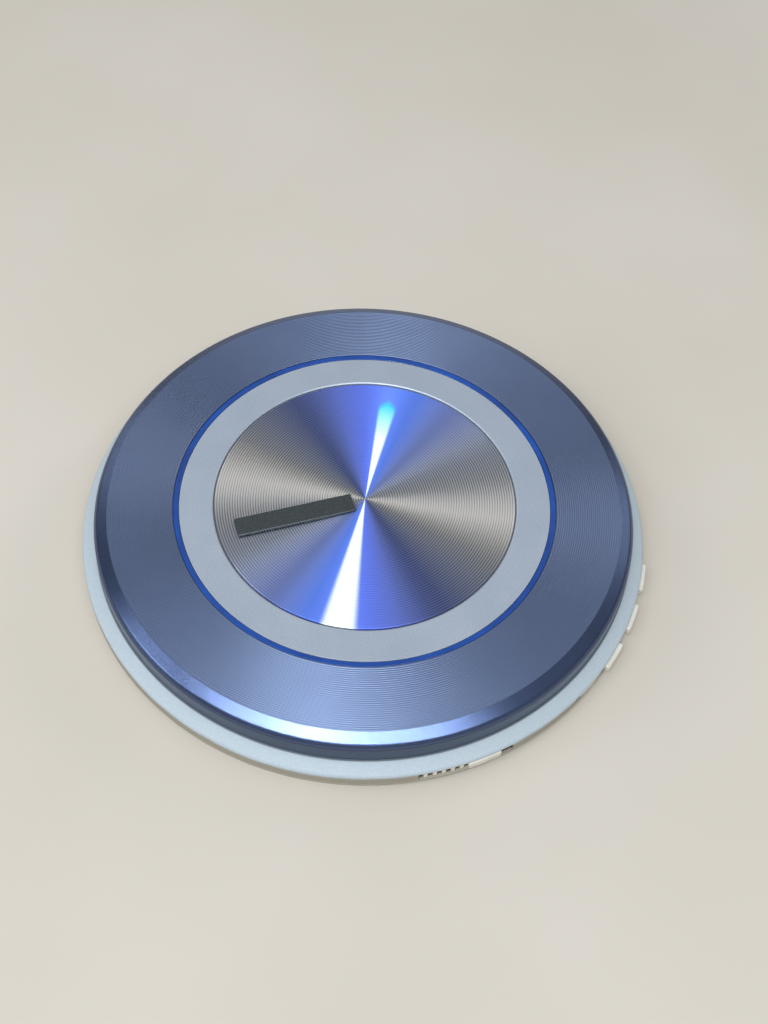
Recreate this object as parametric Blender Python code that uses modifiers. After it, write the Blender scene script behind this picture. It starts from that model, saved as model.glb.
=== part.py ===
"""Slim portable disc player with a hinged lid: case, disc drive, board and battery bay.

Metres, +Z up, front (the open slider) towards -Y, origin under the middle of the base.
Rim pieces are drawn at the front and turned about the player's axis to their azimuth,
which counts from the front towards +X.
"""

import math

import bmesh
import bpy
from mathutils import Matrix, Vector

# Fits shared by all pieces
FIT = 0.0003
RUNNING_FIT = 0.0001
GLUE_LINE = 0.00005
OVERRUN = 0.002
MERGE = 0.0003
WELD = 0.000001
TURN_WELD = 0.00001
SEAM = 0.00016

# The disc that the player takes, and the walls round it
DISC_RADIUS = 0.0600
DISC_THICKNESS = 0.0012
DISC_HOLE_RADIUS = 0.0075
WELL_CLEARANCE = 0.0010
RIM_WALL = 0.0010
SKIRT_GAP = 0.0004
SKIRT_WALL = 0.0008
SHOULDER_WIDTH = 0.0035
SHELL_WALL = 0.0012
RIM_INNER = DISC_RADIUS + WELL_CLEARANCE
RIM_OUTER = RIM_INNER + RIM_WALL
SKIRT_INNER = RIM_OUTER + SKIRT_GAP
LID_RADIUS = SKIRT_INNER + SKIRT_WALL
BODY_RADIUS = LID_RADIUS + SHOULDER_WIDTH
BODY_INNER = BODY_RADIUS - SHELL_WALL

# The two flat cells that the bay takes
CELL_LENGTH = 0.0670
CELL_WIDTH = 0.0170
CELL_THICKNESS = 0.0061
CELL_CLEARANCE = 0.0003
CELL_SIDE_GAP = 0.0004
CONTACT_ROOM = 0.0005

# Heights, from the table up
FOOT_HEIGHT = 0.0005
CORNER_RADIUS = 0.0044
DECK_WALL = 0.0009
DISC_ROOM = 0.0050
RIM_HEIGHT = 0.0035
SHOULDER_ROUND = 0.0010
SHOULDER_DROP = 0.0010
FRAME_WALL = 0.0009
PANEL_WALL = 0.0008
SKIRT_LIFT = 0.0002
SHELL_BOTTOM = FOOT_HEIGHT
SHELL_FLOOR = SHELL_BOTTOM + SHELL_WALL
PARTING = SHELL_BOTTOM + CORNER_RADIUS
DECK_UNDER = SHELL_FLOOR + CELL_THICKNESS + CELL_CLEARANCE
DECK_TOP = DECK_UNDER + DECK_WALL
RIM_TOP = DECK_TOP + RIM_HEIGHT
FRAME_UNDER = DECK_TOP + DISC_ROOM
FRAME_TOP = FRAME_UNDER + FRAME_WALL
PANEL_UNDER = FRAME_TOP + FIT
LID_TOP = PANEL_UNDER + PANEL_WALL
SKIRT_BOTTOM = DECK_TOP + SKIRT_LIFT

# Lid face
CHAMFER_WIDTH = 0.0033
CHAMFER_DROP = 0.0017
CHAMFER_SLOPE = CHAMFER_DROP / CHAMFER_WIDTH
EDGE_ROUND = 0.00025
FLAT_RADIUS = LID_RADIUS - CHAMFER_WIDTH
FACE_WIDTH = 0.0152
ACCENT_WIDTH = 0.0012
ACCENT_OUTER = FLAT_RADIUS - FACE_WIDTH
ACCENT_INNER = ACCENT_OUTER - ACCENT_WIDTH
ACCENT_RIM_DROP = 0.00005
TRIM_DROP = 0.00023
TRIM_BEVEL = 0.00025
PLATE_DROP = 0.00043
RING_GAP = 0.00012
TRIM_WIDTH = 0.00783
PLATE_GAP = 0.00035
TRIM_INNER = ACCENT_INNER - RING_GAP - TRIM_WIDTH
PLATE_RADIUS = TRIM_INNER - PLATE_GAP
BADGE_WIDTH = 0.0050
BADGE_HEIGHT = 0.0007
BADGE_BEVEL = 0.00025
BADGE_OUTER_MARGIN = 0.0042
BADGE_INNER_END = 0.0031
BADGE_LENGTH = PLATE_RADIUS - BADGE_OUTER_MARGIN - BADGE_INNER_END
BADGE_X = -BADGE_INNER_END - BADGE_LENGTH / 2
BADGE_Y = -0.0006

# Lid frame
FRAME_LIP_ROUND = 0.0007
RIB_HEIGHT = 0.0005
RIB_WALL = 0.0008
OUTER_RIB_INSET = 0.0007
RIB_SPACING = 0.0262
RIB_RADII = (ACCENT_OUTER - OUTER_RIB_INSET, ACCENT_OUTER - OUTER_RIB_INSET - RIB_SPACING)

# Hinge
PIVOT_SETBACK = 0.0018
PIVOT_RISE = 0.0003
KNUCKLE_RADIUS = 0.0014
PIN_RADIUS = 0.0006
ARM_INSIDE = 0.0085
ARM_WIDTH = 0.0030
ARM_ROOT = 0.0040
ARM_DEPTH = 0.0012
CHEEK_WIDTH = 0.0022
NOTCH_RISE = 0.0036
REAR_RIM_HEIGHT = 0.0015
POCKET_FLOOR_WALL = 0.0009
PIVOT_Y = RIM_INNER + PIVOT_SETBACK
PIVOT_Z = DECK_TOP + PIVOT_RISE
ARM_OUTSIDE = ARM_INSIDE + ARM_WIDTH
CHEEK_INSIDE = ARM_OUTSIDE + FIT
CHEEK_OUTSIDE = CHEEK_INSIDE + CHEEK_WIDTH
NOTCH_TOP = PIVOT_Z + NOTCH_RISE

# Hinge spring
SPRING_START = 0.0028
SPRING_TURNS = 5
SPRING_PITCH = 0.0010
SPRING_WIRE_RADIUS = 0.00018
SPRING_RADIUS = 0.00105
SPRING_LEG = 0.0014
POINTS_PER_CURL = 9

# Rim controls, azimuths in degrees from the front towards +X
NOTCH_HEIGHT = 0.0023
CONTROL_GAP = 0.0002
FLANGE_DEPTH = 0.0011
FLANGE_SIDE = 0.0006
FLANGE_RISE = 0.0003
CONTROL_BEVEL = 0.0002
KEY_AZIMUTHS = (41.2, 51.0, 60.8)
KEY_WIDTH = 0.0075
KEY_PROUD = 0.0009
KEY_TRAVEL = 0.0004
KEY_STEM_WIDTH = 0.0016
KEY_STEM_HEIGHT = 0.0010
KEY_STEM_LENGTH = 0.0015
SLIDER_AZIMUTH = 3.4
SLIDER_NOTCH = 0.0217
SLIDER_TRAVEL = 0.0028
SLIDER_TAB_SHARE = 0.41
SLIDER_RIBS = 5
SLIDER_RIB_PITCH = 0.0020
SLIDER_RIB_WIDTH = 0.0008
SLIDER_RECESS = 0.0008
SLIDER_PROUD = 0.0003
SLIDER_BAR_DEPTH = 0.0022
SLIDER_BAR_HEIGHT = 0.0018
HOLD_AZIMUTH = 32.8
HOLD_NOTCH = 0.0104
HOLD_TRAVEL = 0.0021
HOLD_FORK_DEPTH = 0.0021

# Lid catch
HOOK_WIDTH = 0.0030
HOOK_DEPTH = 0.0015
HOOK_NOSE = 0.0014
HOOK_NOSE_HEIGHT = 0.0011
HOOK_BOTTOM_GAP = 0.0010
HOOK_SLOT_GAP = 0.0006
HOOK_INSET = 0.0022
HOOK_FOOT_LENGTH = 0.0070
HOOK_FOOT_WIDTH = 0.0060
HOOK_FOOT_HEIGHT = 0.0005
CATCH_WIDTH = 0.0016
CATCH_HEIGHT = 0.0007
LATCH_SPRING_TURNS = 4
LATCH_SPRING_PITCH = 0.0009
LATCH_SPRING_RADIUS = 0.0007
LATCH_SPRING_WIRE = 0.00015
SEAT_RIB_WALL = 0.0008
SEAT_RIB_DEPTH = 0.0024

# Feet and case screws
FOOT_RADIUS = 0.0035
FOOT_SEAT = 0.0003
FOOT_FRONT_INSET = 0.0107
FOOT_REAR_INSET = 0.0117
FRONT_FOOT_RADIUS = BODY_RADIUS - FOOT_FRONT_INSET
REAR_FOOT_RADIUS = BODY_RADIUS - FOOT_REAR_INSET
FOOT_PLACES = (
    (-35.0, FRONT_FOOT_RADIUS),
    (35.0, FRONT_FOOT_RADIUS),
    (118.0, REAR_FOOT_RADIUS),
    (-118.0, REAR_FOOT_RADIUS),
)
SCREW_RADIUS = 0.0008
SCREW_HEAD_RADIUS = 0.0017
SCREW_HEAD_HEIGHT = 0.0007
SCREW_LENGTH = 0.0045
SCREW_SOCKET_RADIUS = 0.0006
SCREW_SOCKET_DEPTH = 0.0004
BOSS_RADIUS = 0.0023
PAD_RADIUS = 0.0029
PAD_HEIGHT = 0.0008
SCREW_SINK = 0.0010
SCREW_FRONT_INSET = 0.0090
SCREW_SIDE_INSET = 0.0087
SCREW_REAR_INSET = 0.0056
SCREW_PLACES = (
    (-22.0, BODY_RADIUS - SCREW_FRONT_INSET),
    (80.0, BODY_RADIUS - SCREW_SIDE_INSET),
    (158.5, BODY_RADIUS - SCREW_REAR_INSET),
    (-158.5, BODY_RADIUS - SCREW_REAR_INSET),
)

# Disc drive
SHAFT_SPACING = 0.0105
SHAFT_RADIUS = 0.0010
SHAFT_MARGIN = 0.0041
MECH_HALF_WIDTH = SHAFT_SPACING + SHAFT_MARGIN
SHAFT_HEIGHT = 0.0035
SLED_SIDE = 0.0015
SLED_BLOCK_GAP = 0.0009
SLED_BLOCK_HALF = SHAFT_SPACING - SHAFT_RADIUS - SLED_BLOCK_GAP
SLED_OUTWARD = 0.0050
SLED_INWARD = 0.0075
SLEEVE_OUTWARD = 0.0020
SLED_BOTTOM_RISE = 0.0015
SLED_BLOCK_HEIGHT = 0.0036
LENS_START = 0.0240
LENS_EDGE = 0.0030
LENS_END = DISC_RADIUS - LENS_EDGE
CHASSIS_RISE = 0.0047
CHASSIS_WALL = 0.0008
TAB_WALL = 0.0014
TAB_HALF_WIDTH = 0.0015
DAMPER_REAR_OUTWARD = 0.0034
DAMPER_FRONT_OUTWARD = 0.0094
DAMPER_PLACES = (
    (-0.0445, MECH_HALF_WIDTH + DAMPER_REAR_OUTWARD),
    (-0.0400, -MECH_HALF_WIDTH - DAMPER_FRONT_OUTWARD),
    (0.0170, -0.0030),
)
DAMPER_RADIUS = 0.0025
DAMPER_NECK = 0.0014
DAMPER_LIP = 0.0008
DAMPER_POST_RADIUS = 0.0007
EAR_RADIUS = 0.0036
POST_RADIUS = 0.0020

# Spindle
MOTOR_RADIUS = 0.0095
MOTOR_HEIGHT = 0.0034
MOTOR_BORE = 0.0010
SPINDLE_RADIUS = 0.00075
SEAT_LIFT = 0.0019
TABLE_RADIUS = 0.0135
TABLE_WALL = 0.0007
PAD_WALL = 0.0003
PAD_WIDTH = 0.0028
HUB_CLEARANCE = 0.00015
HUB_HEIGHT = 0.0024
HUB_TOP_RADIUS = 0.0060
HUB_BOSS_RADIUS = 0.0036
HUB_HOLE_GAP = 0.0010
PAWL_WIDTH = 0.0020
PAWL_HEIGHT = 0.0011
PAWL_TAIL = 0.0026
PAWL_PROUD = 0.0003
PAWL_TRAVEL = 0.0005
PAWL_COUNT = 3

# Pickup
YOKE_BASE = 0.0006
YOKE_WALL = 0.0008
YOKE_SPREAD = 0.0040
YOKE_HALF_WIDTH = 0.0030
HOLDER_HALF_LENGTH = 0.0027
HOLDER_HALF_WIDTH = 0.0045
HOLDER_HEIGHT = 0.0020
HOLDER_TOP_RISE = 0.0004
LENS_RADIUS = 0.0021
LENS_CROWN = 0.0008
LENS_SINK = 0.0005
SLOT_HALF_WIDTH = 0.0062
SLOT_END_GAP = 0.0005
SLOT_CORNER = 0.0010

# Sled drive
LEAD_OUTWARD = 0.0026
LEAD_Y = -MECH_HALF_WIDTH - LEAD_OUTWARD
LEAD_PITCH = 0.0030
LEAD_CORE = 0.0007
LEAD_RADIUS = 0.00125
LEAD_JOURNAL = 0.0005
LEAD_END_ROOM = 0.0009
RIDGE_BASE_SHARE = 0.25
RIDGE_TOP_SHARE = 0.15
NUT_WIDTH_SHARE = 0.28
NUT_REACH = 0.0004
NUT_GAP = 0.0002
NUT_HEIGHT = 0.0007
NUT_OUTWARD = 0.0026
NUT_ARM_LENGTH = 0.0030
NUT_ARM_HEIGHT = 0.0018
FEED_MOTOR_RADIUS = 0.0022
FEED_MOTOR_LENGTH = 0.0090
BRACKET_WALL = 0.0007
BRACKET_THICKNESS = 0.0006
BRACKET_LAP = 0.0010
BRACKET_HALF_WIDTH = 0.0010
BRACKET_END_HALF = 0.0013
BRACKET_DROP = 0.0033

# Board, on it and through the rim
BOARD_RISE = 0.0012
BOARD_WALL = 0.0008
BOARD_RIM_GAP = 0.0044
BOARD_GAP = 0.0018
SWITCH_WIDTH = 0.0045
SWITCH_DEPTH = 0.0035
SWITCH_HEIGHT = 0.0033
PLUNGER_RADIUS = 0.0006
PLUNGER_LENGTH = 0.0005
JACK_WIDTH = 0.0064
JACK_LENGTH = 0.0115
JACK_HEIGHT = 0.0054
JACK_LIFT = 0.0008
PHONE_BORE = 0.0018
POWER_BORE = 0.0021
POWER_PIN = 0.0007
BORE_DEPTH = 0.0090
JACK_COLLAR = 0.0005
JACK_INSET = 0.0015
JACK_BAY_GAP = 0.0032
JACK_TURN = 17.0
RIBBON_LAP = 0.0005
CHIP_SIZE = 0.0140
CHIP_PLACE = (0.0270, -0.0370)
CHIP_HEIGHT = 0.0012
CHIP_BEVEL = 0.0002

# Battery bay
BAY_WALL = 0.0012
DOOR_WALL = 0.0010
DOOR_PIN_RADIUS = 0.0003
DOOR_PIN_LENGTH = 0.0008
DOOR_PIN_SETBACK = 0.0007
DOOR_CORNER = 0.0006
DOOR_GRIP_WIDTH = 0.0140
DOOR_GRIP_LENGTH = 0.0040
DOOR_GRIP_DEPTH = 0.0004
CONTACT_WALL = 0.0003
CONTACT_WIDTH = 0.0060
CONTACT_HEIGHT = 0.0040
BAY_HALF_LENGTH = CELL_LENGTH / 2 + CONTACT_ROOM
BAY_FRONT = MECH_HALF_WIDTH + FIT + BAY_WALL
BAY_REAR = BAY_FRONT + 2 * CELL_WIDTH + 3 * CELL_SIDE_GAP

JACK_FACE = BODY_INNER - JACK_INSET
JACK_BACK = JACK_FACE - JACK_LENGTH

# The power socket's inner corner clears the bay's wall, and the headphone socket is next to it
JACK_CORNER = math.hypot(JACK_BACK, JACK_WIDTH / 2)
JACK_CORNER_TURN = math.degrees(math.atan2(JACK_WIDTH / 2, JACK_BACK))
BAY_SIDE = BAY_HALF_LENGTH + BAY_WALL + JACK_BAY_GAP
POWER_AZIMUTH = 180 - math.degrees(math.asin(BAY_SIDE / JACK_CORNER)) - JACK_CORNER_TURN
JACK_AZIMUTHS = (POWER_AZIMUTH - JACK_TURN, POWER_AZIMUTH)

# Heights of the drive, worked out from the stack above
SHAFT_Z = SHELL_FLOOR + SHAFT_HEIGHT
CHASSIS_Z = SHELL_FLOOR + CHASSIS_RISE
CHASSIS_TOP = CHASSIS_Z + CHASSIS_WALL
BOARD_Z = SHELL_FLOOR + BOARD_RISE
BOARD_TOP = BOARD_Z + BOARD_WALL
SEAT_Z = DECK_TOP + SEAT_LIFT
HUB_HOLE_RADIUS = TABLE_RADIUS + HUB_HOLE_GAP
LEAD_Z = SHAFT_Z - FIT

# Turning steps
FINE_STEPS = 60
STEPS = 36
SMALL_STEPS = 16
TINY_STEPS = 10
SHARP_ANGLE = math.radians(24)

FINISHES = {
    "blue_anodised": ((0.105, 0.140, 0.235), 0.32, 1.0),
    "accent_blue": ((0.012, 0.045, 0.260), 0.25, 0.0),
    "satin_grey": ((0.360, 0.400, 0.470), 0.42, 0.2),
    "spun_aluminium": ((0.520, 0.540, 0.600), 0.24, 1.0),
    "dark_badge": ((0.050, 0.058, 0.062), 0.40, 0.4),
    "pale_case": ((0.520, 0.610, 0.680), 0.38, 0.3),
    "pale_key": ((0.640, 0.640, 0.570), 0.45, 0.0),
    "grey_moulding": ((0.130, 0.135, 0.145), 0.60, 0.0),
    "black_moulding": ((0.018, 0.018, 0.020), 0.50, 0.0),
    "bright_steel": ((0.560, 0.570, 0.580), 0.28, 1.0),
    "zinc_sheet": ((0.420, 0.425, 0.430), 0.40, 1.0),
    "die_cast": ((0.330, 0.335, 0.340), 0.50, 1.0),
    "rubber": ((0.020, 0.020, 0.022), 0.85, 0.0),
    "board_green": ((0.010, 0.130, 0.060), 0.45, 0.0),
    "chip_black": ((0.015, 0.015, 0.016), 0.55, 0.0),
    "lens_glass": ((0.180, 0.260, 0.420), 0.05, 0.0),
    "copper_film": ((0.420, 0.190, 0.060), 0.45, 0.1),
    "sprung_bronze": ((0.620, 0.480, 0.230), 0.30, 1.0),
}


def clear_scene():
    for obj in list(bpy.data.objects):
        bpy.data.objects.remove(obj, do_unlink=True)


def new_collection(name):
    collection = bpy.data.collections.new(name)
    bpy.context.scene.collection.children.link(collection)
    return collection


def finish(name):
    """The Principled material of this name, made on first use."""
    material = bpy.data.materials.get(name)
    if material:
        return material
    colour, roughness, metallic = FINISHES[name]
    material = bpy.data.materials.new(name)
    material.use_nodes = True
    shader = material.node_tree.nodes["Principled BSDF"]
    shader.inputs["Base Color"].default_value = (*colour, 1.0)
    shader.inputs["Roughness"].default_value = roughness
    shader.inputs["Metallic"].default_value = metallic
    return material


# Shapes. Each is drawn in world coordinates with its object at the origin.


def loose(mesh):
    obj = bpy.data.objects.new("shape", mesh)
    bpy.context.scene.collection.objects.link(obj)
    return obj


def settle(obj):
    """Replaces the object's mesh by what its modifiers make of it."""
    graph = bpy.context.evaluated_depsgraph_get()
    mesh = bpy.data.meshes.new_from_object(obj.evaluated_get(graph))
    obj.modifiers.clear()
    obj.data = mesh
    return obj


def turned(profile, steps=STEPS, closed=True):
    """Turns (radius, height) points about Z. The outer side runs from top to bottom."""
    count = len(profile)
    edges = [(i, (i + 1) % count) for i in range(count if closed else count - 1)]
    mesh = bpy.data.meshes.new("turned")
    mesh.from_pydata([(radius, 0, height) for radius, height in profile], edges, [])
    obj = loose(mesh)
    screw = obj.modifiers.new("Turn", "SCREW")
    screw.steps = screw.render_steps = steps
    screw.use_merge_vertices = True
    screw.merge_threshold = TURN_WELD
    return settle(obj)


def block(low, high):
    """A box between two corners."""
    low, high = Vector(low), Vector(high)
    shape = bmesh.new()
    bmesh.ops.create_cube(shape, size=1)
    bmesh.ops.scale(shape, vec=high - low, verts=shape.verts)
    bmesh.ops.translate(shape, vec=(low + high) / 2, verts=shape.verts)
    return from_bmesh(shape)


def from_bmesh(shape):
    mesh = bpy.data.meshes.new("shape")
    shape.to_mesh(mesh)
    shape.free()
    return loose(mesh)


def rod(radius, start, end, sides=SMALL_STEPS, end_radius=None):
    """A cylinder, or a cone, from one point to another."""
    start, end = Vector(start), Vector(end)
    shape = bmesh.new()
    bmesh.ops.create_cone(
        shape,
        cap_ends=True,
        segments=sides,
        radius1=radius,
        radius2=radius if end_radius is None else end_radius,
        depth=(end - start).length,
    )
    turn = Vector((0, 0, 1)).rotation_difference(end - start).to_matrix().to_4x4()
    bmesh.ops.transform(shape, matrix=Matrix.Translation((start + end) / 2) @ turn, verts=shape.verts)
    return from_bmesh(shape)


def plate(outline, low, high):
    """A flat outline in X and Y, filled between two heights."""
    curve = bpy.data.curves.new("outline", "CURVE")
    curve.dimensions = "2D"
    curve.fill_mode = "BOTH"
    curve.extrude = (high - low) / 2
    spline = curve.splines.new("POLY")
    spline.points.add(len(outline) - 1)
    for point, (x, y) in zip(spline.points, outline):
        point.co = (x, y, 0, 1)
    spline.use_cyclic_u = True
    flat = bpy.data.objects.new("outline", curve)
    bpy.context.scene.collection.objects.link(flat)
    obj = welded_mesh(flat)
    shift(obj, (0, 0, (low + high) / 2))
    return obj


def welded_mesh(source):
    """A mesh object from a curve object, its caps welded, in place of the curve."""
    graph = bpy.context.evaluated_depsgraph_get()
    mesh = bpy.data.meshes.new_from_object(source.evaluated_get(graph))
    shape = bmesh.new()
    shape.from_mesh(mesh)
    bmesh.ops.remove_doubles(shape, verts=shape.verts, dist=WELD)
    bmesh.ops.recalc_face_normals(shape, faces=shape.faces)
    shape.to_mesh(mesh)
    shape.free()
    obj = loose(mesh)
    obj.matrix_world = source.matrix_world
    bpy.data.objects.remove(source, do_unlink=True)
    return obj


def wire(points, radius, resolution=1):
    """A round wire through the points."""
    curve = bpy.data.curves.new("wire", "CURVE")
    curve.dimensions = "3D"
    curve.bevel_depth = radius
    curve.bevel_resolution = resolution
    curve.use_fill_caps = True
    spline = curve.splines.new("POLY")
    spline.points.add(len(points) - 1)
    for point, place in zip(spline.points, points):
        point.co = (*place, 1)
    path = bpy.data.objects.new("wire", curve)
    bpy.context.scene.collection.objects.link(path)
    return welded_mesh(path)


def side_plate(outline, low, high):
    """A flat outline in Y and Z, filled between two X places."""
    obj = plate(outline, low, high)
    obj.data.transform(Matrix(((0, 0, 1, 0), (1, 0, 0, 0), (0, 1, 0, 0), (0, 0, 0, 1))))
    return obj


def arc(centre, radius, start, end, count):
    """Points of a circle, angles in degrees."""
    points = []
    for i in range(count + 1):
        angle = math.radians(start + (end - start) * i / count)
        points.append((centre[0] + radius * math.cos(angle), centre[1] + radius * math.sin(angle)))
    return points


def shift(obj, offset):
    obj.data.transform(Matrix.Translation(offset))
    return obj


def spin(obj, azimuth):
    """Turns a shape drawn at the front to its azimuth in degrees."""
    obj.data.transform(Matrix.Rotation(math.radians(azimuth), 4, "Z"))
    return obj


def combine(target, tool, operation):
    modifier = target.modifiers.new("Combine", "BOOLEAN")
    modifier.operation = operation
    modifier.solver = "EXACT"
    modifier.object = tool
    settle(target)
    bpy.data.objects.remove(tool, do_unlink=True)
    return target


def cut(target, *tools):
    for tool in tools:
        combine(target, tool, "DIFFERENCE")
    return target


def join(target, *tools):
    for tool in tools:
        combine(target, tool, "UNION")
    return target


def trim(target, tool):
    return combine(target, tool, "INTERSECT")


def bevelled(obj, width, segments=1, angle=50):
    bevel = obj.modifiers.new("Edges", "BEVEL")
    bevel.width = width
    bevel.segments = segments
    bevel.limit_method = "ANGLE"
    bevel.angle_limit = math.radians(angle)
    return settle(obj)


def polar(azimuth, radius):
    """The X and Y of a place on the player, azimuth in degrees from the front towards +X."""
    angle = math.radians(azimuth)
    return radius * math.sin(angle), -radius * math.cos(angle)


def part(name, obj, material, origin=(0, 0, 0), azimuth=0, parent=None):
    """Makes a shape a named piece with its origin at a point, its X axis along the rim there."""
    obj.name = name
    obj.data.name = name
    obj.data.materials.clear()
    obj.data.materials.append(finish(material))
    obj.data.shade_smooth()
    obj.data.set_sharp_from_angle(angle=SHARP_ANGLE)
    for holder in list(obj.users_collection):
        holder.objects.unlink(obj)
    PARTS.objects.link(obj)
    turn = Matrix.Rotation(math.radians(azimuth), 4, "Z")
    obj.data.transform(turn.inverted() @ Matrix.Translation(-Vector(origin)))
    obj.matrix_world = Matrix.Translation(origin) @ turn
    if parent:
        obj.parent = parent
        obj.matrix_parent_inverse = parent.matrix_world.inverted()
    return obj


def axis_empty(name, place):
    empty = bpy.data.objects.new(name, None)
    PARTS.objects.link(empty)
    empty.location = place
    bpy.context.view_layer.update()
    return empty


# Lid


def chamfer_height(radius, depth=0):
    """Height of a surface this deep under the lid's chamfer, at a radius."""
    return LID_TOP - CHAMFER_SLOPE * (radius - FLAT_RADIUS) - depth * math.hypot(1, CHAMFER_SLOPE)


def chamfer_radius(height, depth=0):
    return FLAT_RADIUS + (LID_TOP - depth * math.hypot(1, CHAMFER_SLOPE) - height) / CHAMFER_SLOPE


def rear_notch(top):
    return block(
        (-CHEEK_OUTSIDE - SKIRT_LIFT, RIM_INNER / 2, -OVERRUN),
        (CHEEK_OUTSIDE + SKIRT_LIFT, BODY_RADIUS + OVERRUN, top),
    )


def lid_panel():
    """Drawn aluminium cup: flat face, chamfer, and a skirt notched over the hinge."""
    hole = ACCENT_OUTER + RING_GAP
    panel = turned(
        [
            (hole, LID_TOP),
            (FLAT_RADIUS, LID_TOP),
            (LID_RADIUS - EDGE_ROUND, chamfer_height(LID_RADIUS - EDGE_ROUND)),
            (LID_RADIUS, chamfer_height(LID_RADIUS) - EDGE_ROUND),
            (LID_RADIUS, SKIRT_BOTTOM + EDGE_ROUND),
            (LID_RADIUS - EDGE_ROUND, SKIRT_BOTTOM),
            (SKIRT_INNER, SKIRT_BOTTOM),
            (SKIRT_INNER, chamfer_height(SKIRT_INNER, PANEL_WALL)),
            (chamfer_radius(PANEL_UNDER, PANEL_WALL), PANEL_UNDER),
            (hole, PANEL_UNDER),
        ],
        FINE_STEPS,
    )
    cut(panel, rear_notch(NOTCH_TOP))
    return part("lid_panel", panel, "blue_anodised", parent=LID_AXIS)


def lid_face():
    """Accent ring, trim ring and spun plate, stepping down to the middle, and the raised bar."""
    trim_outer = ACCENT_INNER - RING_GAP
    trim_top = LID_TOP - TRIM_DROP
    plate_top = LID_TOP - PLATE_DROP
    bottom = FRAME_TOP + GLUE_LINE
    accent = turned(
        [
            (ACCENT_INNER, trim_top),
            (ACCENT_OUTER, LID_TOP - ACCENT_RIM_DROP),
            (ACCENT_OUTER, bottom),
            (ACCENT_INNER, bottom),
        ],
        FINE_STEPS,
    )
    part("blue_accent_ring", accent, "accent_blue", parent=LID_AXIS)
    trim_ring = turned(
        [
            (TRIM_INNER, trim_top - TRIM_BEVEL),
            (TRIM_INNER + TRIM_BEVEL, trim_top),
            (trim_outer, trim_top),
            (trim_outer, bottom),
            (TRIM_INNER, bottom),
        ],
        FINE_STEPS,
    )
    part("trim_ring", trim_ring, "satin_grey", parent=LID_AXIS)
    outline = [(0, plate_top), (PLATE_RADIUS, plate_top), (PLATE_RADIUS, bottom), (0, bottom)]
    centre = turned(outline, STEPS, False)
    part("centre_plate", centre, "spun_aluminium", parent=LID_AXIS)
    bar_bottom = plate_top + GLUE_LINE
    bar = block(
        (BADGE_X - BADGE_LENGTH / 2, BADGE_Y - BADGE_WIDTH / 2, bar_bottom),
        (BADGE_X + BADGE_LENGTH / 2, BADGE_Y + BADGE_WIDTH / 2, bar_bottom + BADGE_HEIGHT),
    )
    part("badge_bar", bevelled(bar, BADGE_BEVEL), "dark_badge", parent=LID_AXIS)


def frame_rib(radius):
    return [
        (radius + RIB_WALL, FRAME_UNDER),
        (radius + RIB_WALL, FRAME_UNDER - RIB_HEIGHT),
        (radius, FRAME_UNDER - RIB_HEIGHT),
        (radius, FRAME_UNDER),
    ]


def hinge_arm(inside, outside):
    """Crane arm from the lid frame over the rim and down to its knuckle, in Y and Z."""
    lip = FRAME_UNDER - ARM_DEPTH
    under = NOTCH_TOP - FIT
    back = PIVOT_Y + KNUCKLE_RADIUS
    outline = [
        (RIM_INNER - ARM_ROOT, FRAME_UNDER + RUNNING_FIT),
        (RIM_INNER - ARM_ROOT + ARM_DEPTH, FRAME_UNDER + RUNNING_FIT),
        (RIM_INNER - RIM_WALL + FIT, under + FIT),
        (RIM_INNER - RUNNING_FIT, under),
        (PIVOT_Y - KNUCKLE_RADIUS / 2, under),
        (PIVOT_Y + KNUCKLE_RADIUS / 2, (under + PIVOT_Z + KNUCKLE_RADIUS) / 2),
    ]
    outline += arc((PIVOT_Y, PIVOT_Z), KNUCKLE_RADIUS, 20, -180, 10)
    outline += [
        (PIVOT_Y - KNUCKLE_RADIUS, PIVOT_Z + ARM_DEPTH),
        ((RIM_INNER + back) / 2 - KNUCKLE_RADIUS, (lip + PIVOT_Z) / 2),
        (RIM_INNER - WELL_CLEARANCE - FIT, lip - FIT),
        (RIM_INNER - ARM_ROOT, lip),
    ]
    return side_plate(outline, inside, outside)


def pin_bore(start, end):
    return rod(PIN_RADIUS + RUNNING_FIT, (start, PIVOT_Y, PIVOT_Z), (end, PIVOT_Y, PIVOT_Z), TINY_STEPS)


def lid_frame():
    """Inner moulding of the lid: plate, sealing lip, stiffening ribs and two hinge arms."""
    outer = SKIRT_INNER - FIT
    depth = PANEL_WALL + FIT
    lip_inner = outer - RIM_WALL
    profile = [
        (0, FRAME_TOP),
        (chamfer_radius(FRAME_TOP, depth), FRAME_TOP),
        (outer, chamfer_height(outer, depth)),
        (outer, RIM_TOP + FIT),
        (lip_inner, RIM_TOP + FIT),
        (lip_inner, FRAME_UNDER - FRAME_LIP_ROUND),
        (lip_inner - FRAME_LIP_ROUND, FRAME_UNDER),
    ]
    for radius in RIB_RADII:
        profile += frame_rib(radius)
    profile.append((0, FRAME_UNDER))
    frame = turned(profile, FINE_STEPS, False)
    for side in (-1, 1):
        inside, outside = sorted((side * ARM_INSIDE, side * ARM_OUTSIDE))
        join(frame, hinge_arm(inside, outside))
    cut(frame, pin_bore(-ARM_OUTSIDE - OVERRUN, ARM_OUTSIDE + OVERRUN))
    return part("lid_frame", frame, "grey_moulding", parent=LID_AXIS)


def hook_frame():
    """Places of the lid hook: its X range, and the Y range of its stem at the front."""
    x = polar(SLIDER_AZIMUTH, RIM_INNER)[0]
    back = -(RIM_INNER - HOOK_INSET - HOOK_DEPTH)
    return x - HOOK_WIDTH / 2, x + HOOK_WIDTH / 2, back - HOOK_DEPTH, back


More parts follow.
